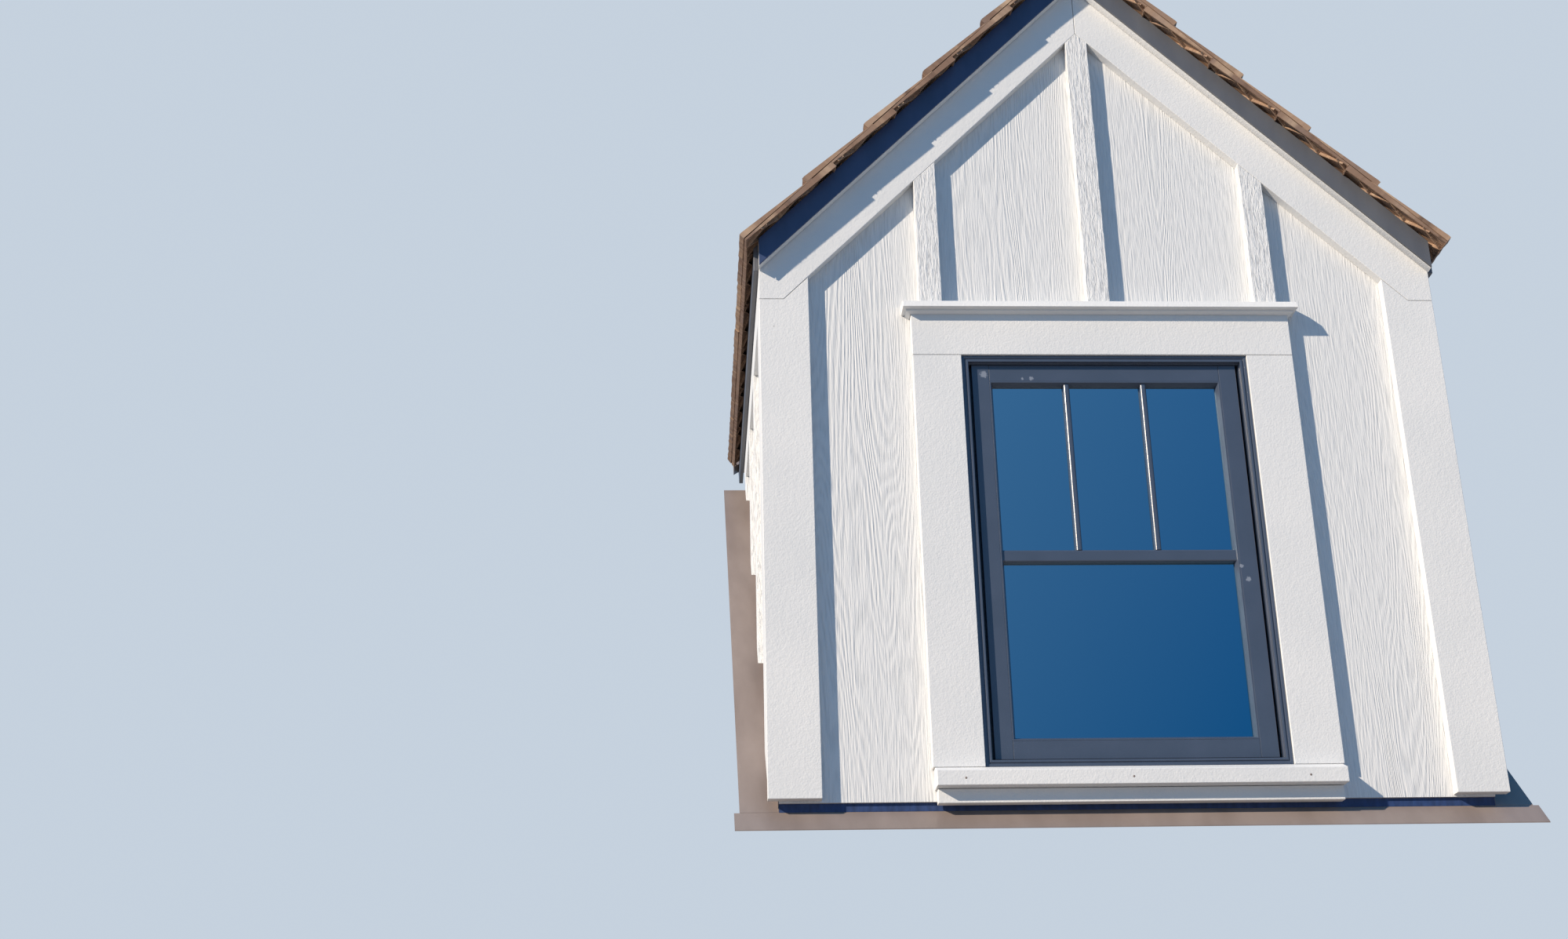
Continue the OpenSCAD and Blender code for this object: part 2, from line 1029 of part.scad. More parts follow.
placed() sole_plate();
placed() front_wall_left();
placed() front_wall_right();
placed() front_wall_below();
placed() front_gable_wall();
placed() cheek_wall_left();
placed() cheek_wall_right();
placed() ridge_board();
placed() rafters();
placed() roof_deck_left();
placed() roof_deck_right();
placed() siding_left();
placed() siding_right();
placed() siding_below();
placed() siding_above();
placed() corner_board_left();
placed() corner_board_right();
placed() side_corner_boards();
placed() rake_frieze_left();
placed() rake_frieze_right();
placed() gable_battens();
placed() cheek_siding_left();
placed() cheek_siding_right();
placed() cheek_friezes();
placed() cheek_battens();
placed() casing_left();
placed() casing_right();
placed() casing_head();
placed() head_cap();
placed() window_sill();
placed() window_apron();
placed() window_frame();
placed() window_sash();
placed() window_glass();
placed() check_rail();
placed() rake_band_left();
placed() rake_band_right();
placed() eave_fascias();
placed() roof_shakes_left();
placed() roof_shakes_right();
placed() ridge_cap();
placed() apron_flashing();
placed() step_flashings();
placed() valley_flashing();
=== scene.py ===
# %% [markdown]
# This lesson dresses a gable dormer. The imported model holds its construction: walls, trim
# boards, window, roof boarding, flashings and the stepped mass of the roof covering. Blender
# adds what the eye looks for: single shakes, ribbed starter pieces, eased edges, the window's
# cladding and bars, and the grain and paint of every surface. All of it is in metres, in the
# model's frame.

import json
import math
import random

import bmesh
import bpy
from mathutils import Matrix, Vector, noise


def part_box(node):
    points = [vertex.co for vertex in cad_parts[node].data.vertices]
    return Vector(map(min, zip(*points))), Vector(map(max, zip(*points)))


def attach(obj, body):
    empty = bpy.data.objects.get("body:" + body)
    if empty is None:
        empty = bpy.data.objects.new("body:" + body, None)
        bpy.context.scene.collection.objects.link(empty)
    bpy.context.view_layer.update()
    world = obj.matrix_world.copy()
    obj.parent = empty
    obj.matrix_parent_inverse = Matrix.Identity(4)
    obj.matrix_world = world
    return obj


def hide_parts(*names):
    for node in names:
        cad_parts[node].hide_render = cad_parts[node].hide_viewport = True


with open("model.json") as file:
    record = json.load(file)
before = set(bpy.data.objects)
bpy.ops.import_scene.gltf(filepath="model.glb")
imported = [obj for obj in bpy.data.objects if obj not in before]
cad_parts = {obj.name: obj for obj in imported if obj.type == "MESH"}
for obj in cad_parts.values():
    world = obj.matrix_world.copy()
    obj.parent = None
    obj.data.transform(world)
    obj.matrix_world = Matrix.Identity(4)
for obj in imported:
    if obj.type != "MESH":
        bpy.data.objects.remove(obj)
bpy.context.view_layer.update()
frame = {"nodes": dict(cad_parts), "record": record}  # frame["bodies"], ["nodes"], ["joints"], ["record"]
nodes = frame["nodes"]
scene = bpy.context.scene
MM = 0.001
X, Y, Z = range(3)

# %% [markdown]
# The camera repeats the photograph's view. The place and the turn come from the plumb, level
# and sloping edges of the dormer, solved for one point of view: five metres in front of the
# wall, over a metre below its foot and just left of its left corner, looking up.

# %% Camera
CAMERA_PLACE = Vector((-1168.2, -5080.4, -1118.6)) * MM
CAMERA_RIGHT = Vector((0.99873, -0.04604, -0.02036)).normalized()
CAMERA_UP = Vector((0.00139, -0.37907, 0.92537)).normalized()
CAMERA_BACK = CAMERA_RIGHT.cross(CAMERA_UP).normalized()
CAMERA_UP = CAMERA_BACK.cross(CAMERA_RIGHT)
LENS_MM, SENSOR_MM = 45.87, 36.0
SHIFT_UP = -0.00285

camera_data = bpy.data.cameras.new("photo_camera")
camera_data.lens = LENS_MM
camera_data.sensor_width = SENSOR_MM
camera_data.sensor_fit = "HORIZONTAL"
camera_data.shift_y = SHIFT_UP
camera_data.clip_end = 200.0
camera = bpy.data.objects.new("photo_camera", camera_data)
turn = Matrix((CAMERA_RIGHT, CAMERA_UP, CAMERA_BACK)).transposed().to_4x4()
camera.matrix_world = Matrix.Translation(CAMERA_PLACE) @ turn
scene.collection.objects.link(camera)
scene.camera = camera
print("camera: lens", LENS_MM, "mm")

# %% [markdown]
# Light decides how white boards read. A key from the upper left draws every board's edge and
# leaves the steep shadows of the overhang, and a cool, even surround fills them. The surround is
# painted by direction alone, and what the camera sees behind the object is plain. Every colour
# below is given as it reads on screen, and one function turns it to linear light.

# %% Colours
def tint(code):
    """A colour given as sRGB hex, turned to linear light."""
    parts = [int(code[i:i + 2], 16) / 255 for i in (1, 3, 5)]
    linear = [p / 12.92 if p <= 0.04045 else ((p + 0.055) / 1.055) ** 2.4 for p in parts]
    return (*linear, 1.0)


def add(tree, kind, inputs=None, **settings):
    """Adds a shader node with its settings, its socket values and its links."""
    made = tree.nodes.new("ShaderNode" + kind)
    for name, value in settings.items():
        setattr(made, name, value)
    for socket, value in (inputs or {}).items():
        if isinstance(value, bpy.types.NodeSocket):
            tree.links.new(value, made.inputs[socket])
        else:
            made.inputs[socket].default_value = value
    return made


# %% Light and surround
KEY_TRAVEL = Vector((0.64, 0.40, -0.385))
KEY_ENERGY = 5.3
KEY_SPREAD = math.radians(1.2)
FILL_STRENGTH = 1.16

key_data = bpy.data.lights.new("key", "SUN")
key_data.energy = KEY_ENERGY
key_data.angle = KEY_SPREAD
key_data.color = tint("#FFEFDA")[:3]
key = bpy.data.objects.new("key", key_data)
key.rotation_euler = KEY_TRAVEL.to_track_quat("-Z", "Y").to_euler()
scene.collection.objects.link(key)

surround = bpy.data.worlds.new("surround")
surround.use_nodes = True
scene.world = surround
tree = surround.node_tree
tree.nodes.clear()
direction = add(tree, "TexCoord").outputs["Generated"]
height = add(tree, "SeparateXYZ", {0: direction}).outputs["Z"]
rise = add(tree, "MapRange", {"Value": height, "From Min": -0.15, "From Max": 0.75}).outputs[0]
cool = add(
    tree, "Mix", {0: rise, 6: tint("#5B88AB"), 7: tint("#3B79B1")}, data_type="RGBA"
).outputs[2]
seen = add(tree, "LightPath").outputs["Is Camera Ray"]
shown = add(tree, "Mix", {0: seen, 6: cool, 7: tint("#B9C4D0")}, data_type="RGBA").outputs[2]
fill = add(tree, "Background", {"Color": shown, "Strength": FILL_STRENGTH}).outputs[0]
add(tree, "OutputWorld", {"Surface": fill})
scene.view_settings.view_transform = "Standard"
print("key travels", [round(v, 2) for v in KEY_TRAVEL])

# %% [markdown]
# The floor lies well below the dormer, because a dormer is seen from the ground. It looks pale,
# but light that falls on it comes back no stronger than from the shakes round a real dormer.

# %% Floor
FLOOR_LEVEL = -1500 * MM
FLOOR_SIZE = 30.0


def studio_floor():
    """A matt floor whose colour is paler to the camera than to the light."""
    material = bpy.data.materials.new("pale studio floor")
    material.use_nodes = True
    tree = material.node_tree
    seen = add(tree, "LightPath").outputs["Is Camera Ray"]
    tone = add(
        tree, "Mix", {0: seen, 6: tint("#B0A69B"), 7: tint("#D6D0C9")}, data_type="RGBA"
    ).outputs[2]
    shader = tree.nodes["Principled BSDF"]
    shader.inputs["Roughness"].default_value = 0.9
    tree.links.new(tone, shader.inputs["Base Color"])
    return material


def piece_from(bm, name, material):
    """Turns a bmesh into an object at the origin, with its place in its mesh."""
    mesh = bpy.data.meshes.new(name)
    bm.to_mesh(mesh)
    bm.free()
    mesh.materials.append(material)
    obj = bpy.data.objects.new(name, mesh)
    scene.collection.objects.link(obj)
    return obj


bm = bmesh.new()
bmesh.ops.create_grid(bm, x_segments=1, y_segments=1, size=FLOOR_SIZE / 2)
bmesh.ops.translate(bm, verts=bm.verts, vec=(0, 0, FLOOR_LEVEL))
floor = piece_from(bm, "floor", studio_floor())
print("floor at", FLOOR_LEVEL)

# %% [markdown]
# Every finish starts the same way: a Principled shader, object coordinates in metres, and one
# bump. The patterns are sized in millimetres of the real board, so a helper turns a feature's
# size into the scale that a noise wants.

# %% Material helpers
def per(size_mm):
    """The noise scale at which one feature measures size_mm."""
    return 1.0 / (size_mm * MM)


def start(name, **sockets):
    """A new material, its shader and its object coordinates."""
    material = bpy.data.materials.new(name)
    material.use_nodes = True
    tree = material.node_tree
    shader = tree.nodes["Principled BSDF"]
    for socket, value in sockets.items():
        shader.inputs[socket.replace("_", " ")].default_value = value
    where = add(tree, "TexCoord").outputs["Object"]
    return material, tree, shader, where


def stretched(tree, where, along):
    """Coordinates that run slower along the grain, so that features come out long."""
    return add(tree, "Mapping", {"Vector": where, "Scale": along}).outputs["Vector"]


def bump(tree, shader, height, depth_mm):
    """Links a height pattern, depth_mm deep, to the shader."""
    relief = add(tree, "Bump", {"Height": height, "Distance": depth_mm * MM, "Strength": 1.0})
    tree.links.new(relief.outputs["Normal"], shader.inputs["Normal"])


print("a 5 mm stipple has noise scale", round(per(5)))

# %% [markdown]
# The trim is fibre-cement board under white acrylic paint. The mould leaves a fine stipple like
# orange peel, and handling leaves a few pin holes. Light grazes it, so the stipple shows as soft
# specks and never as gloss.

# %% Stippled trim paint
def stippled_trim():
    """Fine peel on a slower swell, faint clouds of tone, and a rare dark pin hole."""
    material, tree, shader, where = start(
        "white paint on stippled fibre-cement trim", Roughness=0.55
    )
    cloud = add(tree, "TexNoise", {"Vector": where, "Scale": per(260), "Detail": 3.0}).outputs[0]
    haze = add(tree, "MapRange", {"Value": cloud, "From Min": 0.35, "From Max": 0.7}).outputs[0]
    tone = add(
        tree, "Mix", {0: haze, 6: tint("#E1E1E0"), 7: tint("#DADBDB")}, data_type="RGBA"
    ).outputs[2]
    cell = add(tree, "TexVoronoi", {"Vector": where, "Scale": per(210)}).outputs["Distance"]
    hole = add(
        tree, "MapRange", {"Value": cell, "From Min": 0.010, "From Max": 0.006}
    ).outputs[0]
    tone = add(tree, "Mix", {0: hole, 6: tone, 7: tint("#A9A7A2")}, data_type="RGBA").outputs[2]
    tree.links.new(tone, shader.inputs["Base Color"])
    peel = add(
        tree, "TexNoise", {"Vector": where, "Scale": per(5), "Detail": 2.0, "Roughness": 0.6}
    ).outputs[0]
    swell = add(tree, "TexNoise", {"Vector": where, "Scale": per(14), "Detail": 1.0}).outputs[0]
    relief = add(tree, "Math", {0: swell, 1: 0.8, 2: peel}, operation="MULTIPLY_ADD").outputs[0]
    bump(tree, shader, relief, 0.75)
    return material


# %% [markdown]
# The panels carry a moulded cedar grain: long upright lines that part round arches, as in a
# plain-sawn board. Stretching a noise upright and then slicing it like a contour map gives just
# those arches, and a second, much finer noise gives the fibres between them. The lines come out
# about 6 mm apart, as on the panel, and fade in and out from patch to patch.

# %% Embossed siding
def embossed_siding():
    """Contour lines of a stretched noise over fine fibres, and painted shade in the low relief."""
    material, tree, shader, where = start(
        "white paint on embossed cedar-grain panel", Roughness=0.6
    )
    drift = stretched(tree, where, (1.0, 1.0, 0.10))
    rings = add(
        tree, "TexNoise",
        {"Vector": drift, "Scale": per(150), "Detail": 1.8, "Roughness": 0.4, "Distortion": 0.2},
    ).outputs[0]
    lines = add(tree, "Math", {0: rings, 1: 290.0}, operation="MULTIPLY").outputs[0]
    lines = add(tree, "Math", {0: lines}, operation="SINE").outputs[0]
    patch = add(tree, "TexNoise", {"Vector": drift, "Scale": per(120), "Detail": 1.0}).outputs[0]
    patch = add(
        tree, "MapRange",
        {"Value": patch, "From Min": 0.38, "From Max": 0.62, "To Min": 0.25, "To Max": 1.0},
    ).outputs[0]
    lines = add(tree, "Math", {0: lines, 1: patch}, operation="MULTIPLY").outputs[0]
    fibre = add(
        tree, "TexNoise",
        {"Vector": stretched(tree, where, (1.0, 1.0, 0.07)), "Scale": per(4.5), "Detail": 3.0},
    ).outputs[0]
    relief = add(tree, "Math", {0: lines, 1: 0.17, 2: fibre}, operation="MULTIPLY_ADD").outputs[0]
    bump(tree, shader, relief, 2.2)
    # Painted shade: the paint is made grayer where the relief is low.
    hollow_shade = add(
        tree, "MapRange", {"Value": relief, "From Min": 0.15, "From Max": 0.55}
    ).outputs[0]
    tone = add(
        tree, "Mix", {0: hollow_shade, 6: tint("#CACCCD"), 7: tint("#DCDDDD")}, data_type="RGBA"
    ).outputs[2]
    tree.links.new(tone, shader.inputs["Base Color"])
    return material


# %% [markdown]
# The battens were left as the saw cut them. Short torn fibres stand up under the paint, so their
# pattern is coarse and much deeper than the panel's, with painted shade in its hollows.

# %% Rough-sawn battens
def rough_batten():
    """One rough noise, drawn out along the batten, for the relief and its hollows' painted shade."""
    material, tree, shader, where = start("white paint on rough-sawn batten", Roughness=0.65)
    tear = add(
        tree, "TexNoise",
        {"Vector": stretched(tree, where, (1.0, 1.0, 0.16)), "Scale": per(7), "Detail": 4.0,
         "Roughness": 0.65, "Distortion": 0.6},
    ).outputs[0]
    bump(tree, shader, tear, 5.5)
    # Painted shade: the hollows of the relief are painted grayer.
    hollow_shade = add(tree, "MapRange", {"Value": tear, "From Min": 0.3, "From Max": 0.5}).outputs[0]
    tone = add(
        tree, "Mix", {0: hollow_shade, 6: tint("#BCBEC0"), 7: tint("#E3E4E4")}, data_type="RGBA"
    ).outputs[2]
    tree.links.new(tone, shader.inputs["Base Color"])
    return material


# %% [markdown]
# The window is aluminium-clad wood with a baked satin coat in dark slate. Its gloss picks up the
# cool surround, and its colour is tinted blue as a painted reflection of that surround, which
# turns it slate blue. The painter left a few pale smudges on the sash. The glass has a metal coating
# that mirrors the sky, so from outside it reads as one deep blue sheet and shows no shadow. Its
# paling to the upper left is a painted reflection.

# %% Window finishes
CASING_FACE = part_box("casing_left")[0].y
SASH_FACE = 25
SMUDGES = ((-335, 1203, 15), (-228, 1190, 6), (-203, 1191, 9), (329, 637, 8), (344, 600, 10))
glass_low, glass_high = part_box("window_glass")


def baked_coat():
    """Faint mottle in colour and gloss. Smudges are given by x, z and radius in millimetres."""
    material, tree, shader, where = start(
        "satin baked coat on aluminium cladding", Roughness=0.36, Specular_IOR_Level=0.85
    )
    mottle = add(tree, "TexNoise", {"Vector": where, "Scale": per(90), "Detail": 4.0}).outputs[0]
    # The bluish tones are a painted reflection of the cool surround on the slate coat.
    tone = add(
        tree, "Mix", {0: mottle, 6: tint("#3F4857"), 7: tint("#485265")}, data_type="RGBA"
    ).outputs[2]
    ragged = add(tree, "TexNoise", {"Vector": where, "Scale": per(5), "Detail": 2.0}).outputs[0]
    for x, z, radius_mm in SMUDGES:
        middle = (x * MM, CASING_FACE + SASH_FACE * MM, z * MM)
        radius = radius_mm * MM
        off = add(tree, "VectorMath", {0: where, 1: middle}, operation="DISTANCE").outputs["Value"]
        off = add(
            tree, "Math", {0: ragged, 1: radius, 2: off}, operation="MULTIPLY_ADD"
        ).outputs[0]
        mark = add(
            tree, "MapRange",
            {"Value": off, "From Min": 1.25 * radius, "From Max": radius, "To Max": 0.5},
        ).outputs[0]
        tone = add(
            tree, "Mix", {0: mark, 6: tone, 7: tint("#A7ADB9")}, data_type="RGBA"
        ).outputs[2]
    tree.links.new(tone, shader.inputs["Base Color"])
    sheen = add(
        tree, "MapRange", {"Value": mottle, "To Min": 0.26, "To Max": 0.40}
    ).outputs[0]
    tree.links.new(sheen, shader.inputs["Roughness"])
    grit = add(tree, "TexNoise", {"Vector": where, "Scale": per(4), "Detail": 1.0}).outputs[0]
    bump(tree, shader, grit, 0.15)
    return material


def coated_glass():
    """A tinted mirror with a slow ripple and a painted reflection that pales to its upper left."""
    material, tree, shader, where = start("sky-blue coated glass", Roughness=0.02, Metallic=1.0)
    x, _, z = add(tree, "SeparateXYZ", {0: where}).outputs
    # Painted reflection: the mirror's colour pales toward the upper left by place on the glass.
    up = add(
        tree, "MapRange", {"Value": z, "From Min": glass_low.z, "From Max": glass_high.z}
    ).outputs[0]
    left = add(
        tree, "MapRange", {"Value": x, "From Min": glass_high.x, "From Max": glass_low.x}
    ).outputs[0]
    painted_reflection_blend = add(tree, "Math", {0: left, 1: 0.8, 2: up}, operation="MULTIPLY_ADD").outputs[0]
    depth = add(tree, "MapRange", {"Value": painted_reflection_blend, "From Max": 1.8}).outputs[0]
    tone = add(
        tree, "Mix", {0: depth, 6: tint("#4A94B3"), 7: tint("#B6C1C7")}, data_type="RGBA"
    ).outputs[2]
    tree.links.new(tone, shader.inputs["Base Color"])
    ripple = add(
        tree, "TexNoise", {"Vector": where, "Scale": per(420), "Detail": 0.0}
    ).outputs[0]
    bump(tree, shader, ripple, 0.6)
    return material


# %% [markdown]
# The shakes are a moulded composite: split-cedar faces cast in a brown polymer, dull and a
# little chalky. Grain runs up the slope, so it reads from a UV map laid in the plane of the
# slope, with metres along both axes, and each shake has its own tone in a mesh attribute.

# %% Composite shakes
def composite_shake():
    """A tone for each shake, light and dark streaks along its grain, and gray wear."""
    material, tree, shader, _ = start("moulded composite shake", Roughness=0.78)
    slope = add(tree, "UVMap", uv_map="slope").outputs["UV"]
    tone = add(tree, "Attribute", attribute_name="tone").outputs["Fac"]
    streak = add(
        tree, "TexNoise",
        {"Vector": stretched(tree, slope, (1.0, 0.055, 1.0)), "Scale": per(7), "Detail": 4.0,
         "Roughness": 0.6},
    ).outputs[0]
    worn = add(tree, "TexNoise", {"Vector": slope, "Scale": per(110), "Detail": 3.0}).outputs[0]
    body = add(
        tree, "Mix", {0: tone, 6: tint("#7A5F4F"), 7: tint("#A5866D")}, data_type="RGBA"
    ).outputs[2]
    light = add(tree, "MapRange", {"Value": streak, "From Min": 0.5, "From Max": 0.72}).outputs[0]
    body = add(tree, "Mix", {0: light, 6: body, 7: tint("#C3A689")}, data_type="RGBA").outputs[2]
    dark = add(
        tree, "MapRange",
        {"Value": streak, "From Min": 0.42, "From Max": 0.30, "To Max": 0.8},
    ).outputs[0]
    body = add(tree, "Mix", {0: dark, 6: body, 7: tint("#4F3B30")}, data_type="RGBA").outputs[2]
    gray = add(
        tree, "MapRange",
        {"Value": worn, "From Min": 0.5, "From Max": 0.75, "To Max": 0.45},
    ).outputs[0]
    body = add(tree, "Mix", {0: gray, 6: body, 7: tint("#93837A")}, data_type="RGBA").outputs[2]
    tree.links.new(body, shader.inputs["Base Color"])
    bump(tree, shader, streak, 4.0)
    return material


# %% [markdown]
# Flashings, fascias, underlay and the dark strip of painted shade are thin, even sheets and boards.
# Rain draws faint streaks down them, and they differ only in colour, gloss and the size of those
# streaks.

# %% Flashing, fascia and underlay
def rain_streaked(name, code_low, code_high, roughness, streak_mm, depth_mm):
    """Paint on sheet metal or on a smooth board, or a sheet, faintly streaked by rain."""
    material, tree, shader, where = start(name, Roughness=roughness)
    run = stretched(tree, where, (1.0, 0.35, 0.35))
    streak = add(
        tree, "TexNoise", {"Vector": run, "Scale": per(streak_mm), "Detail": 4.0}
    ).outputs[0]
    spread = add(tree, "MapRange", {"Value": streak, "From Min": 0.3, "From Max": 0.7}).outputs[0]
    tone = add(
        tree, "Mix", {0: spread, 6: tint(code_low), 7: tint(code_high)}, data_type="RGBA"
    ).outputs[2]
    tree.links.new(tone, shader.inputs["Base Color"])
    bump(tree, shader, streak, depth_mm)
    return material


# %% [markdown]
# Under the covering the dormer is plain carpentry: sawn softwood rafters and ridge, plywood
# boarding, and a lining painted with a roller. They are seen from behind and from below.

# %% Carpentry
def sawn_softwood(name, along, early, late):
    """Softwood with its growth rings drawn out along the piece."""
    material, tree, shader, where = start(name, Roughness=0.7)
    run = stretched(tree, where, along)
    ring = add(
        tree, "TexNoise", {"Vector": run, "Scale": per(35), "Detail": 2.0, "Distortion": 0.4}
    ).outputs[0]
    ring = add(tree, "Math", {0: ring, 1: 45.0}, operation="MULTIPLY").outputs[0]
    ring = add(tree, "Math", {0: ring}, operation="SINE").outputs[0]
    fibre = add(tree, "TexNoise", {"Vector": run, "Scale": per(3), "Detail": 3.0}).outputs[0]
    grain = add(tree, "Math", {0: ring, 1: 0.25, 2: fibre}, operation="MULTIPLY_ADD").outputs[0]
    tone = add(
        tree, "Mix", {0: grain, 6: tint(late), 7: tint(early)}, data_type="RGBA"
    ).outputs[2]
    tree.links.new(tone, shader.inputs["Base Color"])
    bump(tree, shader, grain, 0.6)
    return material


def rolled_lining():
    """Off-white paint with the nap that a roller leaves."""
    material, tree, shader, where = start("rolled paint on wall lining", Roughness=0.7)
    nap = add(tree, "TexNoise", {"Vector": where, "Scale": per(9), "Detail": 3.0}).outputs[0]
    cloud = add(tree, "TexNoise", {"Vector": where, "Scale": per(400), "Detail": 2.0}).outputs[0]
    tone = add(
        tree, "Mix", {0: cloud, 6: tint("#DDD8CE"), 7: tint("#E9E5DC")}, data_type="RGBA"
    ).outputs[2]
    tree.links.new(tone, shader.inputs["Base Color"])
    bump(tree, shader, nap, 0.7)
    return material


# %% [markdown]
# Each material slot of the record now gets its finish, and every imported node takes the finish of
# its slot. There is one more for the band on the left rake: the same gray paint, made bluer as
# painted shade and painted reflection of the sky, because that band lies in shade.

# %% Make the finishes
finish = {
    "white_trim": stippled_trim(),
    "siding_panel": embossed_siding(),
    "rough_batten": rough_batten(),
    "dark_window_paint": baked_coat(),
    "window_glass": coated_glass(),
    "composite_shake": composite_shake(),
    "gray_fascia": rain_streaked(
        "satin gray paint on fascia", "#595B61", "#626469", 0.42, 60, 0.4
    ),
    # The left band's finish is the gray paint made bluer: painted shade and painted sky reflection.
    "painted_shade_fascia": rain_streaked(
        "satin gray fascia paint with painted shade", "#364463", "#404E70", 0.4, 60, 0.4
    ),
    "flashing_metal": rain_streaked(
        "brown-gray coil coat on flashing", "#7C706A", "#8D817B", 0.42, 90, 0.6
    ),
    "framing_lumber": sawn_softwood("sawn softwood", (1.0, 0.12, 1.0), "#D9BC8C", "#B98F5C"),
    "roof_boarding": sawn_softwood("plywood boarding", (0.3, 0.05, 0.3), "#CFAE7E", "#A98554"),
    "wall_lining": rolled_lining(),
}
underlay_felt = rain_streaked("black roofing underlay", "#1E1B19", "#2B2724", 0.85, 40, 0.8)
# A dark blue sheet put on the flashing's leg as painted shade under the panels.
shade_strip_paint = rain_streaked(
    "dark blue sheet as painted shade", "#1D3158", "#2A4272", 0.6, 12, 0.8
)
slot_of = {row["node"]: row["material_slot"] for row in frame["record"]["subparts"]}
for name, obj in nodes.items():
    obj.data.materials.clear()
    obj.data.materials.append(finish[slot_of[name]])
print("finishes:", ", ".join(sorted(finish)))

# %% [markdown]
# Real boards have eased edges that catch the light and leave hairline seams where they meet. A
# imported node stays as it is, so a copy is merged, shrunk by a hair and bevelled, and takes the
# node's place. The panels keep their nodes: their joints are filled and painted over, and don't
# show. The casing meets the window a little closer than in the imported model, so the edges of its
# copies are set to the line of the window's cladding.

# %% Eased copies of the boards
SEAM_ANGLE = math.radians(20)
FLAT_ANGLE = math.radians(0.5)
WELD = 0.01 * MM
CUT_SLACK = 0.001 * MM
NEAR = 0.5 * MM


def merged_copy(node):
    """A bmesh of a node with its loose triangles joined into plain faces."""
    bm = bmesh.new()
    bm.from_mesh(nodes[node].data)
    bmesh.ops.remove_doubles(bm, verts=bm.verts, dist=WELD)
    bmesh.ops.dissolve_limit(bm, angle_limit=FLAT_ANGLE, verts=bm.verts, edges=bm.edges)
    return bm


def ease_edges(bm, radius, segments=2):
    """Bevels every edge that turns by more than the seam angle."""
    sharp = [
        e for e in bm.edges if len(e.link_faces) == 2 and e.calc_face_angle() > SEAM_ANGLE
    ]
    bmesh.ops.bevel(
        bm, geom=sharp, offset=radius, segments=segments, affect="EDGES",
        profile=0.5, material=-1, clamp_overlap=True,
    )


def settle(obj, slot, *replaced):
    """Says that a finished piece rides on the root and hides the nodes it stands for; slot is not used.
    """
    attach(obj, "root")
    if replaced:
        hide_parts(*replaced)


EASED_MM = {
    "corner_board_left": 1.3, "corner_board_right": 1.3, "side_corner_boards": 1.3,
    "rake_frieze_left": 1.3, "rake_frieze_right": 1.3, "cheek_friezes": 1.3,
    "casing_left": 1.3, "casing_right": 1.3, "casing_head": 1.3, "head_cap": 1.2,
    "window_sill": 1.4, "window_apron": 1.2,
    "window_frame": 1.2, "window_sash": 1.5, "check_rail": 1.0, "eave_fascias": 1.2,
}
HAIR = 0.7 * MM
HEAD_EDGE, SILL_EDGE, LEFT_EDGE = 1252, 88.5, -397.5
casing_low, casing_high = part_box("casing_left")
head_move = (Z, casing_high.z, HEAD_EDGE * MM)
sill_move = (Z, casing_low.z, SILL_EDGE * MM)
left_move = (X, casing_high.x, LEFT_EDGE * MM)
MOVED_EDGES = {
    "casing_head": (head_move,), "casing_left": (head_move, sill_move, left_move),
    "casing_right": (head_move, sill_move), "window_sill": (sill_move,),
}


def shrink(bm, gap):
    """Draws every face in by gap."""
    bm.normal_update()
    inward = [(v, v.normal * (v.calc_shell_factor() * gap)) for v in bm.verts]
    for v, step in inward:
        v.co -= step


for node, radius in EASED_MM.items():
    bm = merged_copy(node)
    for axis, old, new in MOVED_EDGES.get(node, ()):
        for v in bm.verts:
            if abs(v.co[axis] - old) < NEAR:
                v.co[axis] = new
    if slot_of[node] == "white_trim":
        shrink(bm, HAIR)
    ease_edges(bm, radius * MM)
    slot = slot_of[node]
    settle(piece_from(bm, node + "_eased", finish[slot]), slot, node)
print("eased:", len(EASED_MM), "boards")

# %% [markdown]
# Along each rake a thin dark board lies on a thicker white one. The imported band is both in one,
# so its copy is cut in depth and each half is closed.

# %% Dark bands and the white boards behind them
BAND_BOARD = 8 * MM
band_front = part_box("rake_band_left")[0].y


def band_layer(node, keep_front):
    """The part of a band before or behind the dark board's back, closed and eased."""
    bm = merged_copy(node)
    cut = bmesh.ops.bisect_plane(
        bm, geom=bm.verts[:] + bm.edges[:] + bm.faces[:], dist=CUT_SLACK,
        plane_co=(0, band_front + BAND_BOARD, 0), plane_no=(0, 1, 0),
        clear_outer=keep_front, clear_inner=not keep_front,
    )
    rim = [g for g in cut["geom_cut"] if isinstance(g, bmesh.types.BMEdge)]
    bmesh.ops.edgeloop_fill(bm, edges=rim)
    bmesh.ops.recalc_face_normals(bm, faces=bm.faces)
    shrink(bm, HAIR)
    ease_edges(bm, 1.0 * MM)
    return bm


# The left board takes the bluer copy of the gray paint, as painted shade.
for word, paint in (("left", "painted_shade_fascia"), ("right", "gray_fascia")):
    node = "rake_band_" + word
    dark = piece_from(band_layer(node, True), node + "_board", finish[paint])
    settle(dark, "gray_fascia", node)
    white = piece_from(band_layer(node, False), node + "_backing", finish["white_trim"])
    settle(white, "white_trim")
print("bands:", round(BAND_BOARD / MM), "mm of gray on white")

# %% [markdown]
# Sawn battens have no straight edges. Their long edges are cut into short lengths and pushed in
# and out by up to a millimetre with a fixed noise, which gives the slightly ragged outline.

# %% Ragged battens
RAGGED = 1.3 * MM
RAGGED_SCALE = 25.0
UPRIGHT = 0.99
CUTS = 22


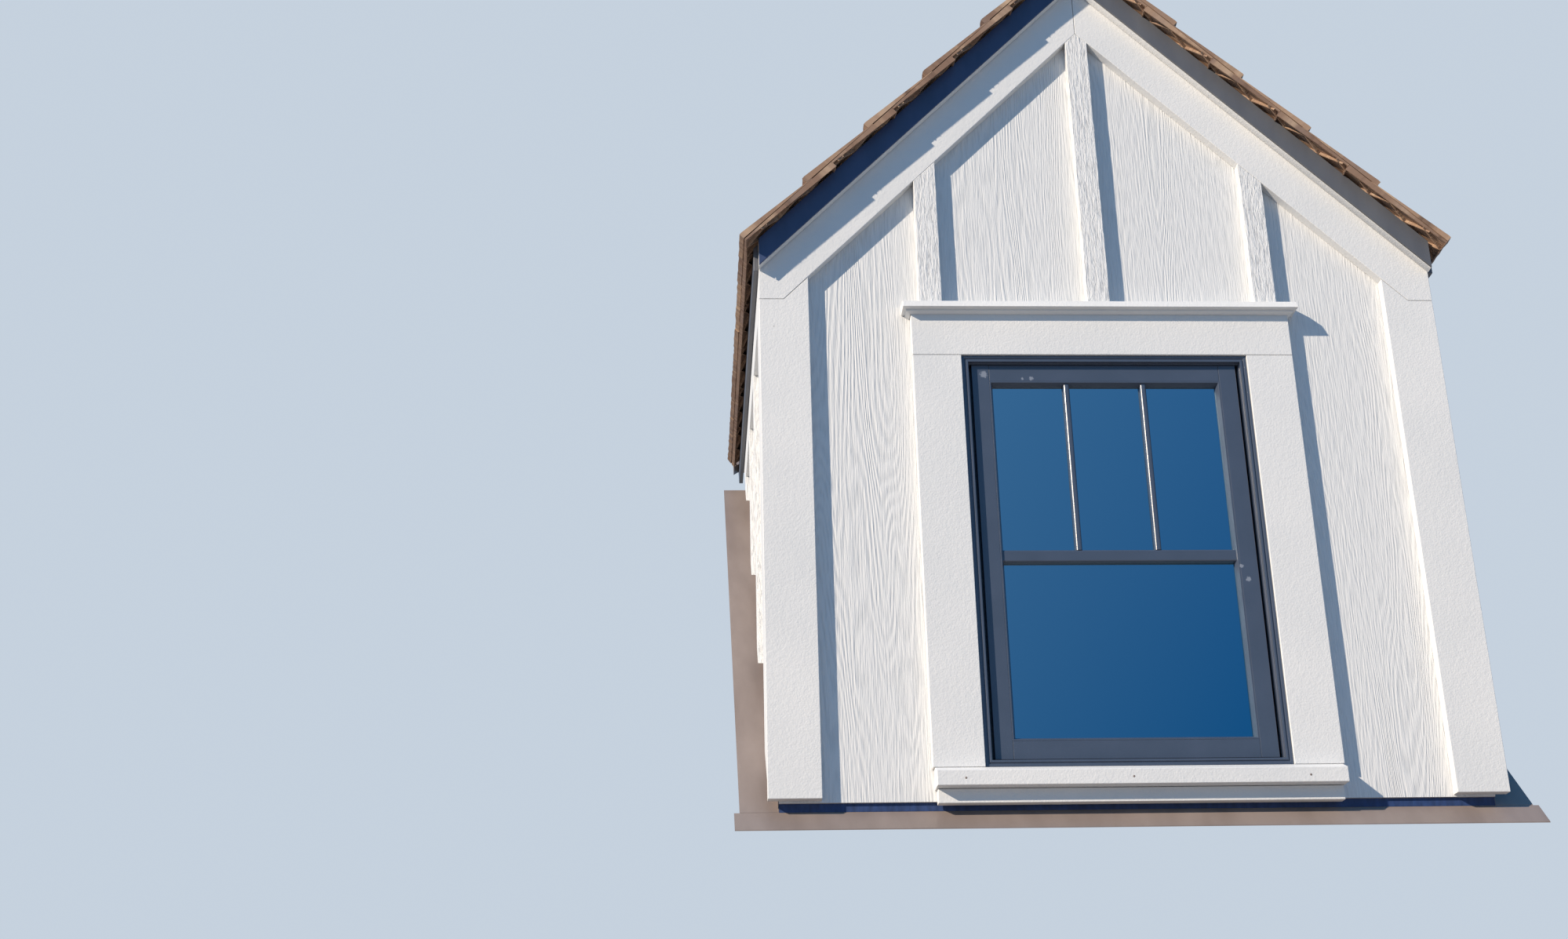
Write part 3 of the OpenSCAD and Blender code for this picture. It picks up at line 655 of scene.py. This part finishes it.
def ragged_copy(node, across):
    """A batten node whose upright edges wander along the axis across."""
    bm = merged_copy(node)
    upright = [
        e for e in bm.edges
        if abs((e.verts[0].co - e.verts[1].co).normalized().z) > UPRIGHT
    ]
    bmesh.ops.subdivide_edges(bm, edges=upright, cuts=CUTS)
    for v in bm.verts:
        v.co[across] += RAGGED * noise.noise(v.co * RAGGED_SCALE)
    ease_edges(bm, 1.2 * MM, 1)
    return bm


for node, across in (("gable_battens", X), ("cheek_battens", Y)):
    bm = ragged_copy(node, across)
    settle(piece_from(bm, node + "_sawn", finish["rough_batten"]), "rough_batten", node)
print("battens sawn")

# %% [markdown]
# Shakes, starters and cap pieces lie on two slopes that mirror each other. It is easiest to
# think of one slope: a distance up from the eave edge, a distance along the ridge, and a
# height over the boarding. One function turns these into a place in the frame.

# %% The slope
PITCH = math.radians(45)
COS = math.cos(PITCH)
SIN = math.sin(PITCH)
BUTT = 34 * MM
EXPOSURE = 254 * MM

shakes_low, shakes_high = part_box("roof_shakes_right")
apex_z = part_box("roof_deck_right")[1].z
eave_x = shakes_high.x - BUTT * SIN
eave_z = apex_z - eave_x * math.tan(PITCH)
rake_y = shakes_low.y
valley_y = shakes_high.y
slope_length = eave_x / COS
courses = math.ceil(slope_length / EXPOSURE)


def on_slope(side, y, s, h):
    """The point s up the slope from the eave edge, at depth y and h over the boarding."""
    return Vector((
        side * (eave_x - s * COS + h * SIN), y, eave_z + s * SIN + h * COS
    ))


def slope_axes(side):
    """Directions up the slope, along the ridge and out of the slope."""
    return Vector((-side * COS, 0, SIN)), Vector((0, 1, 0)), Vector((side * SIN, 0, COS))


print("slope:", round(slope_length, 3), "m long,", courses, "courses")

# %% [markdown]
# A moulded shake is thicker at its butt, with a wavy lower edge and a face split into narrow
# strips. A grid gives the strips: its columns rise and fall by about a millimetre, its first
# row wanders along the slope, and an extrusion closes it below.

# %% One shake
TRAY = 12.5 * MM
FOOT = 16 * MM
STEP = BUTT - FOOT
STRIP = 17 * MM
HEAD_LAP = 20 * MM
THINNEST = 0.8 * MM
BUTT_WEAR = 1.5 * MM
SEATING = 3 * MM
LIFT_MM, WAVE_MM, SWING_MM, CROWN_MM = (-1.4, 0.6), (-1.5, 1.5), (-5, 5), (-1.0, 1.0)
ROWS = (0.0, 0.03, 0.5, 1.0)


def tone_layer(bm):
    """The attribute that gives each shake or tray its own tone."""
    return bm.verts.layers.float.get("tone") or bm.verts.layers.float.new("tone")


def add_shake(bm, side, y0, y1, s0, length, foot, rng):
    """One wedge-shaped shake from y0 to y1 with its butt at s0 and its underside at foot."""
    layer = tone_layer(bm)
    columns = max(4, round((y1 - y0) / STRIP))
    made = bmesh.ops.create_grid(bm, x_segments=columns, y_segments=len(ROWS) - 1, size=0.5)
    top = list(made["verts"])
    faces = list({f for v in top for f in v.link_faces})
    grown = bmesh.ops.extrude_face_region(bm, geom=faces)["geom"]
    under = [g for g in grown if isinstance(g, bmesh.types.BMVert)]
    lift = [rng.uniform(*LIFT_MM) * MM for _ in range(columns + 1)]
    wave = [rng.uniform(*WAVE_MM) * MM for _ in range(columns + 1)]
    swing = rng.uniform(*SWING_MM) * MM
    tone = rng.random()
    crown = rng.uniform(*CROWN_MM) * MM
    for group, is_top in ((top, True), (under, False)):
        for v in group:
            across = v.co.x + 0.5
            column = min(columns, max(0, round(across * columns)))
            row = min(len(ROWS) - 1, max(0, round((v.co.y + 0.5) * (len(ROWS) - 1))))
            along = ROWS[row]
            s = s0 + along * length
            if row < 2:
                s += wave[column] + swing * (across - 0.5) ** 2 + abs(swing) * 0.3
            face = foot + STEP * (1 - along * length / EXPOSURE)
            face += lift[column] * (1 - 0.8 * along) + crown * along
            if row == 0:
                face -= BUTT_WEAR
            low = foot - SEATING * along
            h = max(face, low + THINNEST) if is_top else low
            v.co = on_slope(side, y0 + across * (y1 - y0), s, h)
            v[layer] = tone


bm = bmesh.new()
add_shake(bm, 1, 0.0, 0.2, 0.0, 0.25, FOOT, random.Random(1))
print("a shake has", len(bm.faces), "faces and", len(bm.verts), "points")
bm.free()

# %% [markdown]
# Each course starts at the gable edge and runs back to the valley in random widths with narrow
# joints. The last shakes are cut along the valley by one upright plane, and the cut is closed.

# %% Shakes of a slope
JOINT = 5 * MM
RIDGE_GAP = 2 * MM
WIDTHS = (150 * MM, 205 * MM, 255 * MM, 305 * MM)
FIRST_SHARE = (0.6, 0.9)
NARROWEST = 45 * MM
TONE_SHIFT = 9.0


def lay_slope_uv(bm, side):
    """A UV map in metres along the ridge and up the slope, shifted by each shake's tone."""
    layer = bm.loops.layers.uv.new("slope")
    tones = tone_layer(bm)
    up, along, _ = slope_axes(side)
    for face in bm.faces:
        for loop in face.loops:
            shift = loop.vert[tones] * TONE_SHIFT
            loop[layer].uv = (loop.vert.co.dot(along) + shift, loop.vert.co.dot(up) + shift)


def cut_at_valley(bm, side, y_at_ridge):
    """Cuts away what lies past the valley line and closes the cuts."""
    cut = bmesh.ops.bisect_plane(
        bm, geom=bm.verts[:] + bm.edges[:] + bm.faces[:], dist=CUT_SLACK,
        plane_co=(0, y_at_ridge, 0), plane_no=(side, 1, 0), clear_outer=True,
    )
    rims = [g for g in cut["geom_cut"] if isinstance(g, bmesh.types.BMEdge)]
    bmesh.ops.edgeloop_fill(bm, edges=rims)


def lay_shakes(side):
    """All courses of one slope in one mesh, and the number of shakes."""
    rng = random.Random(20 + side)
    bm = bmesh.new()
    count = 0
    for course in range(courses):
        s0 = course * EXPOSURE
        length = min(EXPOSURE + HEAD_LAP, slope_length - s0 - RIDGE_GAP)
        y_end = valley_y - (eave_x - s0 * COS) + length * COS
        y = rake_y
        width = rng.choice(WIDTHS) * rng.uniform(*FIRST_SHARE)
        while y < y_end - NARROWEST:
            add_shake(bm, side, y, y + width, s0, length, FOOT, rng)
            y += width + JOINT
            width = rng.choice(WIDTHS)
            count += 1
    lay_slope_uv(bm, side)
    cut_at_valley(bm, side, valley_y)
    bmesh.ops.recalc_face_normals(bm, faces=bm.faces)
    return bm, count


for side, word in ((-1, "left"), (1, "right")):
    bm, count = lay_shakes(side)
    shakes = piece_from(bm, "shakes_" + word, finish["composite_shake"])
    settle(shakes, "composite_shake", "roof_shakes_" + word)
    print("shakes", word, count, "pieces,", len(shakes.data.polygons), "faces")

# %% [markdown]
# Along the gable and the eave lies a starter row. From the ground one looks up into it: each
# piece is a shallow tray, open below, stiffened by crossing ribs. A box is set in place, its
# underside is inset for the rim and pushed in, and thin bars make the lattice. Along the gable
# each piece laps the one above a little, so its outer rim hangs lower toward its upper end. The
# steps between the rims show as a zigzag in the shadow on the frieze.

# %% Trays and ribs
TRAY_WALL = 3.5 * MM
TRAY_TOP = 3 * MM
TRAY_WIDTH = 108 * MM
OUTER_SHARE = 0.1
TILT = 14 * MM
RIB = 3 * MM
RIB_SLANT = 0.46
RIB_PITCH = EXPOSURE / 2
RIB_MEETING = 7 * MM
RIB_LEVEL = 0.5 * MM
RIB_TONE = 0.8


def add_block(bm, corner, along, across, up, tone=0.5):
    """A box given by one corner and three edges. Returns its points and its lower face."""
    layer = tone_layer(bm)
    made = bmesh.ops.create_cube(bm, size=1.0)
    faces = list({f for v in made["verts"] for f in v.link_faces})
    lower = next(f for f in faces if all(v.co.z < 0 for v in f.verts))
    for v in made["verts"]:
        a, b, c = (v.co[i] + 0.5 for i in range(3))
        v.co = corner + along * a + across * b + up * c
        v[layer] = tone
    bm.normal_update()
    return made["verts"], lower


def add_tray(bm, corner, along, across, up, tone, tilt=0.0):
    """A box whose underside is a rim round a hollow. The outer rim falls by tilt to its end."""
    out = up.normalized()
    _, lower = add_block(bm, corner, along, across, up, tone)
    inner = bmesh.ops.inset_region(bm, faces=[lower], thickness=TRAY_WALL, use_even_offset=True)
    for v in {v for f in (lower, *inner["faces"]) for v in f.verts}:
        place = v.co - corner
        if place.dot(across) < OUTER_SHARE * across.length_squared:
            v.co += out * (tilt * (0.5 - place.dot(along) / along.length_squared))
    pushed = bmesh.ops.extrude_face_region(bm, geom=[lower, *lower.edges])["geom"]
    moved = [g for g in pushed if isinstance(g, bmesh.types.BMVert)]
    for v in moved:
        v.co += out * (up.length - TRAY_TOP - (v.co - corner).dot(out))
    layer = tone_layer(bm)
    for v in moved + [v for f in inner["faces"] for v in f.verts]:
        v[layer] = tone


def add_ribs(bm, origin, along, across, up, length, reach, first):
    """Two families of crossing ribs over a strip that is length long and reach wide."""
    low, high = TRAY_WALL / 2, length - TRAY_WALL / 2
    near, far = TRAY_WALL / 2, reach - TRAY_WALL / 2
    for family in (1, -1):
        for k in range(-3, int(length / RIB_PITCH) + 4):
            middle = first + k * RIB_PITCH
            ends = sorted(
                (middle + family * (b - RIB_MEETING) / RIB_SLANT, b) for b in (near, far)
            )
            (a0, b0), (a1, b1) = ends
            if a1 <= low or a0 >= high:
                continue
            rise = (b1 - b0) / (a1 - a0)
            if a0 < low:
                a0, b0 = low, b0 + (low - a0) * rise
            if a1 > high:
                a1, b1 = high, b1 - (a1 - high) * rise
            run = along * (a1 - a0) + across * (b1 - b0)
            wide = run.cross(up).normalized() * RIB
            corner = origin + along * a0 + across * b0 - wide / 2 + up * RIB_LEVEL
            add_block(bm, corner, run, wide, up * (TRAY - TRAY_TOP), RIB_TONE)


# %% [markdown]
# The row on the gable follows the courses: after a longer first piece its joints are one
# exposure apart. The row on the eave starts behind it and runs back to the valley.

# %% Starter rows
FIRST_JOINT = 354 * MM
FIRST_CROSSING, NEXT_CROSSING = 67 * MM, 27 * MM
PIECE_GAP = 1 * MM
END_GAP = 16 * MM
LEAST_LEFT = 30 * MM
EAVE_PIECE_MM = (270, 330)


def lay_starters(side):
    """The trays along the gable and then along the eave of one slope."""
    rng = random.Random(40 + side)
    bm = bmesh.new()
    up, ridge_way, out = slope_axes(side)
    s = 0.0
    joint = FIRST_JOINT
    crossing = FIRST_CROSSING
    while s < slope_length - LEAST_LEFT:
        length = min(joint, slope_length - END_GAP) - s - PIECE_GAP
        tone = rng.random()
        corner = on_slope(side, rake_y, s, 0)
        add_tray(bm, corner, up * length, ridge_way * TRAY_WIDTH, out * TRAY, tone, TILT)
        add_ribs(bm, corner, up, ridge_way, out, length, TRAY_WIDTH, crossing)
        s = joint
        joint += EXPOSURE
        crossing = NEXT_CROSSING
    y = rake_y + TRAY_WIDTH + PIECE_GAP
    while y < valley_y - eave_x + TRAY_WIDTH:
        length = rng.uniform(*EAVE_PIECE_MM) * MM
        corner = on_slope(side, y, 0, 0)
        add_tray(bm, corner, ridge_way * length, up * TRAY_WIDTH, out * TRAY, rng.random())
        add_ribs(bm, corner, ridge_way, up, out, length, TRAY_WIDTH, NEXT_CROSSING)
        y += length + PIECE_GAP
    lay_slope_uv(bm, side)
    cut_at_valley(bm, side, valley_y)
    bmesh.ops.recalc_face_normals(bm, faces=bm.faces)
    return bm


for side, word in ((-1, "left"), (1, "right")):
    starters = piece_from(lay_starters(side), "starter_row_" + word, finish["composite_shake"])
    settle(starters, "composite_shake")
    print("starters", word, len(starters.data.polygons), "faces")

# %% [markdown]
# Behind the starter rows the shakes rest on black underlay, laid up to the same height.

# %% Underlay between boarding and shakes
UNDERLAY_EDGE = TRAY_WIDTH + 6 * MM
UNDERLAY = TRAY - 1 * MM


def lay_underlay(side):
    """One sheet from behind the starter rows to the ridge and the valley."""
    bm = bmesh.new()
    up, ridge_way, out = slope_axes(side)
    corner = on_slope(side, rake_y + UNDERLAY_EDGE, UNDERLAY_EDGE, 0)
    run = up * (slope_length - UNDERLAY_EDGE - RIDGE_GAP)
    add_block(bm, corner, run, ridge_way * (valley_y - rake_y), out * UNDERLAY)
    cut_at_valley(bm, side, valley_y)
    bmesh.ops.recalc_face_normals(bm, faces=bm.faces)
    return bm


for side, word in ((-1, "left"), (1, "right")):
    settle(piece_from(lay_underlay(side), "underlay_" + word, underlay_felt), "composite_shake")
print("underlay laid")

# %% [markdown]
# The ridge is closed by folded cap pieces that lap toward the front, each a wedge thicker at its
# front edge, with a small lip turned down along both sides.

# %% Ridge cap
CAP_RUN = 140 * MM
CAP_TOP = (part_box("ridge_cap")[1].z - apex_z) * COS
CAP_FOOT = BUTT + 2 * MM
CAP_LIP = 22 * MM
CAP_LAP = 25 * MM
CAP_FALL = 9 * MM
CAP_FOLD = 2.5 * MM
CAP_LIFT_MM = (-1.4, 0)
CAP_SHORTEST = 40 * MM
CAP_COLUMNS = 16


def add_cap(bm, y0, length, rng):
    """One folded cap piece with its thick edge at y0."""
    layer = tone_layer(bm)
    made = bmesh.ops.create_grid(bm, x_segments=CAP_COLUMNS, y_segments=2, size=0.5)
    top = list(made["verts"])
    faces = list({f for v in top for f in v.link_faces})
    grown = bmesh.ops.extrude_face_region(bm, geom=faces)["geom"]
    under = [g for g in grown if isinstance(g, bmesh.types.BMVert)]
    lift = [rng.uniform(*CAP_LIFT_MM) * MM for _ in range(CAP_COLUMNS + 1)]
    wave = [rng.uniform(*WAVE_MM) * MM for _ in range(CAP_COLUMNS + 1)]
    tone = rng.random()
    for group, is_top in ((top, True), (under, False)):
        for v in group:
            u = 2 * v.co.x
            column = round((v.co.x + 0.5) * CAP_COLUMNS)
            along = v.co.y + 0.5
            side = -1 if u < 0 else 1
            y = y0 + along * length + (max(0.0, wave[column]) if along < 0.1 else 0.0)
            h = CAP_TOP - CAP_FALL * along + lift[column] if is_top else CAP_FOOT
            if not is_top and abs(u) > 0.99:
                h = CAP_LIP
            fold = max(0.0, 1 - abs(u) * CAP_COLUMNS / 2) if is_top else 0.0
            h -= CAP_FOLD * fold
            to_ridge = h * math.tan(PITCH) if abs(u) < 0.01 else 0.0
            s = slope_length - abs(u) * CAP_RUN + to_ridge
            v.co = on_slope(side, y, s, h)
            v[layer] = tone


def lay_ridge():
    """Cap pieces from the gable back, cut to the valley on both sides."""
    rng = random.Random(60)
    bm = bmesh.new()
    y = rake_y
    while y < valley_y - CAP_SHORTEST:
        add_cap(bm, y, EXPOSURE + CAP_LAP, rng)
        y += EXPOSURE
    lay_slope_uv(bm, 1)
    for side in (-1, 1):
        cut_at_valley(bm, side, valley_y)
    bmesh.ops.recalc_face_normals(bm, faces=bm.faces)
    return bm


ridge = piece_from(lay_ridge(), "ridge_caps", finish["composite_shake"])
settle(ridge, "composite_shake", "ridge_cap")
print("ridge:", len(ridge.data.polygons), "faces,", round(CAP_TOP / MM), "mm over the boarding")

# %% [markdown]
# The window is wood inside and clad with aluminium outside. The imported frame, sash and bar are
# its core, and the cladding clips on in front of them, so the frame's face ends up 8 mm behind
# the casing's and the sash's 25 mm. The frame's cladding and the glazing bead are each one
# section swept round a rectangle with mitred corners. A section lists how far in from the
# rectangle and how deep behind the casing's face each of its corners lies, in millimetres.

# %% Swept sections
WINDOW_MIDDLE = 2.5 * MM
FRAME_SECTION = (
    (0, 35), (0, 8), (7, 8), (8, 11), (11, 11), (12, 8), (18, 8), (18, 21.5), (20, 21.5), (20, 35)
)
BEAD_SECTION = ((0, 47), (0, 25.3), (4, 25.3), (10, 40), (10, 47))


def add_ring(bm, half_width, low, high, section):
    """Sweeps a closed section round an upright rectangle. Sizes are in millimetres."""
    loops = []
    for inset, depth in section:
        x = half_width - inset
        corners = ((-x, low + inset), (x, low + inset), (x, high - inset), (-x, high - inset))
        loops.append([
            bm.verts.new((WINDOW_MIDDLE + a * MM, CASING_FACE + depth * MM, c * MM))
            for a, c in corners
        ])
    for k, loop in enumerate(loops):
        after = loops[(k + 1) % len(loops)]
        for j in range(4):
            i = (j + 1) % 4
            bm.faces.new((loop[j], loop[i], after[i], after[j]))
    bmesh.ops.recalc_face_normals(bm, faces=bm.faces)


def window_block(bm, x0, x1, z0, z1, front, back):
    """A block of the window, from x0 to x1 off its middle and from front to back in depth."""
    corner = Vector((WINDOW_MIDDLE + x0 * MM, CASING_FACE + front * MM, z0 * MM))
    verts, _ = add_block(
        bm, corner, Vector(((x1 - x0) * MM, 0, 0)), Vector((0, (back - front) * MM, 0)),
        Vector((0, 0, (z1 - z0) * MM)),
    )
    return verts


def coated(bm, name):
    """Ends a piece of the window that has the dark coat."""
    settle(piece_from(bm, name, finish["dark_window_paint"]), "dark_window_paint")


print("sections:", len(FRAME_SECTION), "and", len(BEAD_SECTION), "corners")

# %% [markdown]
# All window sizes are in millimetres. The sash's upright members run through from foot to head,
# and the level ones fit between them half a millimetre further back, so their joints show.

# %% Frame and sash cladding
FRAME_HALF, FRAME_LOW = 399.5, 90
SASH_HALF, SASH_LOW, SASH_HIGH = 371, 113, 1231
LIGHT_HALF, LIGHT_LOW, LIGHT_HIGH = 323, 162, 1182
RAIL_FACE, GLASS_FACE, GLASS_BACK, SASH_CORE = 25.5, 47, 50.8, 51
RAIL_PLAY, GLASS_PLAY = 0.3, 0.2

bm = bmesh.new()
add_ring(bm, FRAME_HALF, FRAME_LOW, HEAD_EDGE, FRAME_SECTION)
ease_edges(bm, 0.7 * MM)
coated(bm, "frame_cladding")

bm = bmesh.new()
for side in (-1, 1):
    ends = sorted((side * SASH_HALF, side * LIGHT_HALF))
    window_block(bm, *ends, SASH_LOW, SASH_HIGH, SASH_FACE, SASH_CORE)
half = LIGHT_HALF - RAIL_PLAY
for z0, z1 in ((SASH_LOW, LIGHT_LOW), (LIGHT_HIGH, SASH_HIGH)):
    window_block(bm, -half, half, z0, z1, RAIL_FACE, SASH_CORE)
bmesh.ops.recalc_face_normals(bm, faces=bm.faces)
ease_edges(bm, 1.0 * MM)
coated(bm, "sash_cladding")

bm = bmesh.new()
add_ring(bm, LIGHT_HALF, LIGHT_LOW, LIGHT_HIGH, BEAD_SECTION)
ease_edges(bm, 0.5 * MM)
coated(bm, "glazing_bead")

bm = bmesh.new()
half = LIGHT_HALF - GLASS_PLAY
window_block(
    bm, -half, half, LIGHT_LOW + GLASS_PLAY, LIGHT_HIGH - GLASS_PLAY, GLASS_FACE, GLASS_BACK
)
bmesh.ops.recalc_face_normals(bm, faces=bm.faces)
settle(piece_from(bm, "outer_pane", finish["window_glass"]), "window_glass")
print("window face", SASH_FACE, "mm behind the casing")

# %% [markdown]
# One broad bar crosses the light, and two slim bars split its upper part in three. Their front
# edges are rounded, and where the round faces the sun it carries a bright line.

# %% Bars
BAR_FACE = 30
BAR_END = 4
BROAD_LOW, BROAD_HIGH, BROAD_ROUND = 653, 686.5, 5
BAR, BAR_SPACING, BAR_ROUND = 17, 215, 5.5
LEAST_RUN = 40 * MM


def round_nose(bm, verts, axis, radius):
    """Rounds the two front edges that run along the given axis."""
    front = min(v.co.y for v in verts)
    edges = {e for v in verts for e in v.link_edges}
    nose = [
        e for e in edges
        if all(v.co.y < front + NEAR for v in e.verts)
        and abs(e.verts[0].co[axis] - e.verts[1].co[axis]) > LEAST_RUN
    ]
    bmesh.ops.bevel(
        bm, geom=nose, offset=radius * MM, segments=4, affect="EDGES", profile=0.5, material=-1
    )


bm = bmesh.new()
half = LIGHT_HALF - BAR_END
verts = window_block(bm, -half, half, BROAD_LOW, BROAD_HIGH, BAR_FACE, GLASS_FACE)
round_nose(bm, verts, X, BROAD_ROUND)
bar_top = LIGHT_HIGH - BAR_END
for middle in (-BAR_SPACING / 2, BAR_SPACING / 2):
    ends = (middle - BAR / 2, middle + BAR / 2)
    verts = window_block(bm, *ends, BROAD_HIGH, bar_top, BAR_FACE, GLASS_FACE)
    round_nose(bm, verts, Z, BAR_ROUND)
bmesh.ops.recalc_face_normals(bm, faces=bm.faces)
coated(bm, "glazing_bars")
print("upper light split at", [BAR_SPACING * k / 2 for k in (-1, 1)])

# %% [markdown]
# Under the panels a dark blue strip shows above the flashing, as painted shade under the panels'
# lower edge. It is stuck to the flashing's upright leg, from just over the bend up to the panels'
# lower edge.

# %% Strip of painted shade over the flashing
LEG_INSET = 2 * MM
OVER_BEND = 3 * MM
SHADE_STRIP, SHADE_STRIP_GAP, PANEL_GAP = 0.7 * MM, 0.1 * MM, 0.3 * MM
panel_low, panel_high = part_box("siding_left")
panel_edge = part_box("siding_right")[1].x
leg_face = panel_high.y - LEG_INSET
leg = [v.co for v in nodes["apron_flashing"].data.vertices if abs(v.co.y - leg_face) < NEAR]
shade_strip_low = min(co.z for co in leg) + OVER_BEND
shade_strip_height = panel_low.z - PANEL_GAP - shade_strip_low

bm = bmesh.new()
corner = Vector((-panel_edge, leg_face - SHADE_STRIP_GAP - SHADE_STRIP, shade_strip_low))
add_block(
    bm, corner, Vector((2 * panel_edge, 0, 0)), Vector((0, SHADE_STRIP, 0)),
    Vector((0, 0, shade_strip_height)),
)
bmesh.ops.recalc_face_normals(bm, faces=bm.faces)
settle(piece_from(bm, "painted_shade_strip", shade_strip_paint), "flashing_metal")
print("shade_strip_paint", round(shade_strip_height / MM), "mm high")

# %% [markdown]
# Small fixings finish the front: nail heads on the sill's nose. Each is a sphere pressed flat
# and sunk into the board, so that a low dome shows.

# %% Nail heads
NAIL_RADIUS = 3.5 * MM
NAIL_FLATNESS = 0.4
NAIL_LEVEL, NAIL_SUNK = 19 * MM, 1.3 * MM
NAIL_PLACES = (-455 * MM, -26 * MM, 430 * MM)
sill_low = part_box("window_sill")[0]


def nail_heads():
    """Three low domes in a row, where the photograph shows them."""
    bm = bmesh.new()
    for x in NAIL_PLACES:
        made = bmesh.ops.create_uvsphere(bm, u_segments=12, v_segments=6, radius=NAIL_RADIUS)
        place = (x, sill_low.y + NAIL_SUNK, sill_low.z + NAIL_LEVEL)
        bmesh.ops.scale(bm, vec=(1, NAIL_FLATNESS, 1), verts=made["verts"])
        bmesh.ops.translate(bm, vec=place, verts=made["verts"])
    return bm


settle(piece_from(nail_heads(), "sill_nails", finish["flashing_metal"]), "white_trim")
print("nails:", len(NAIL_PLACES))
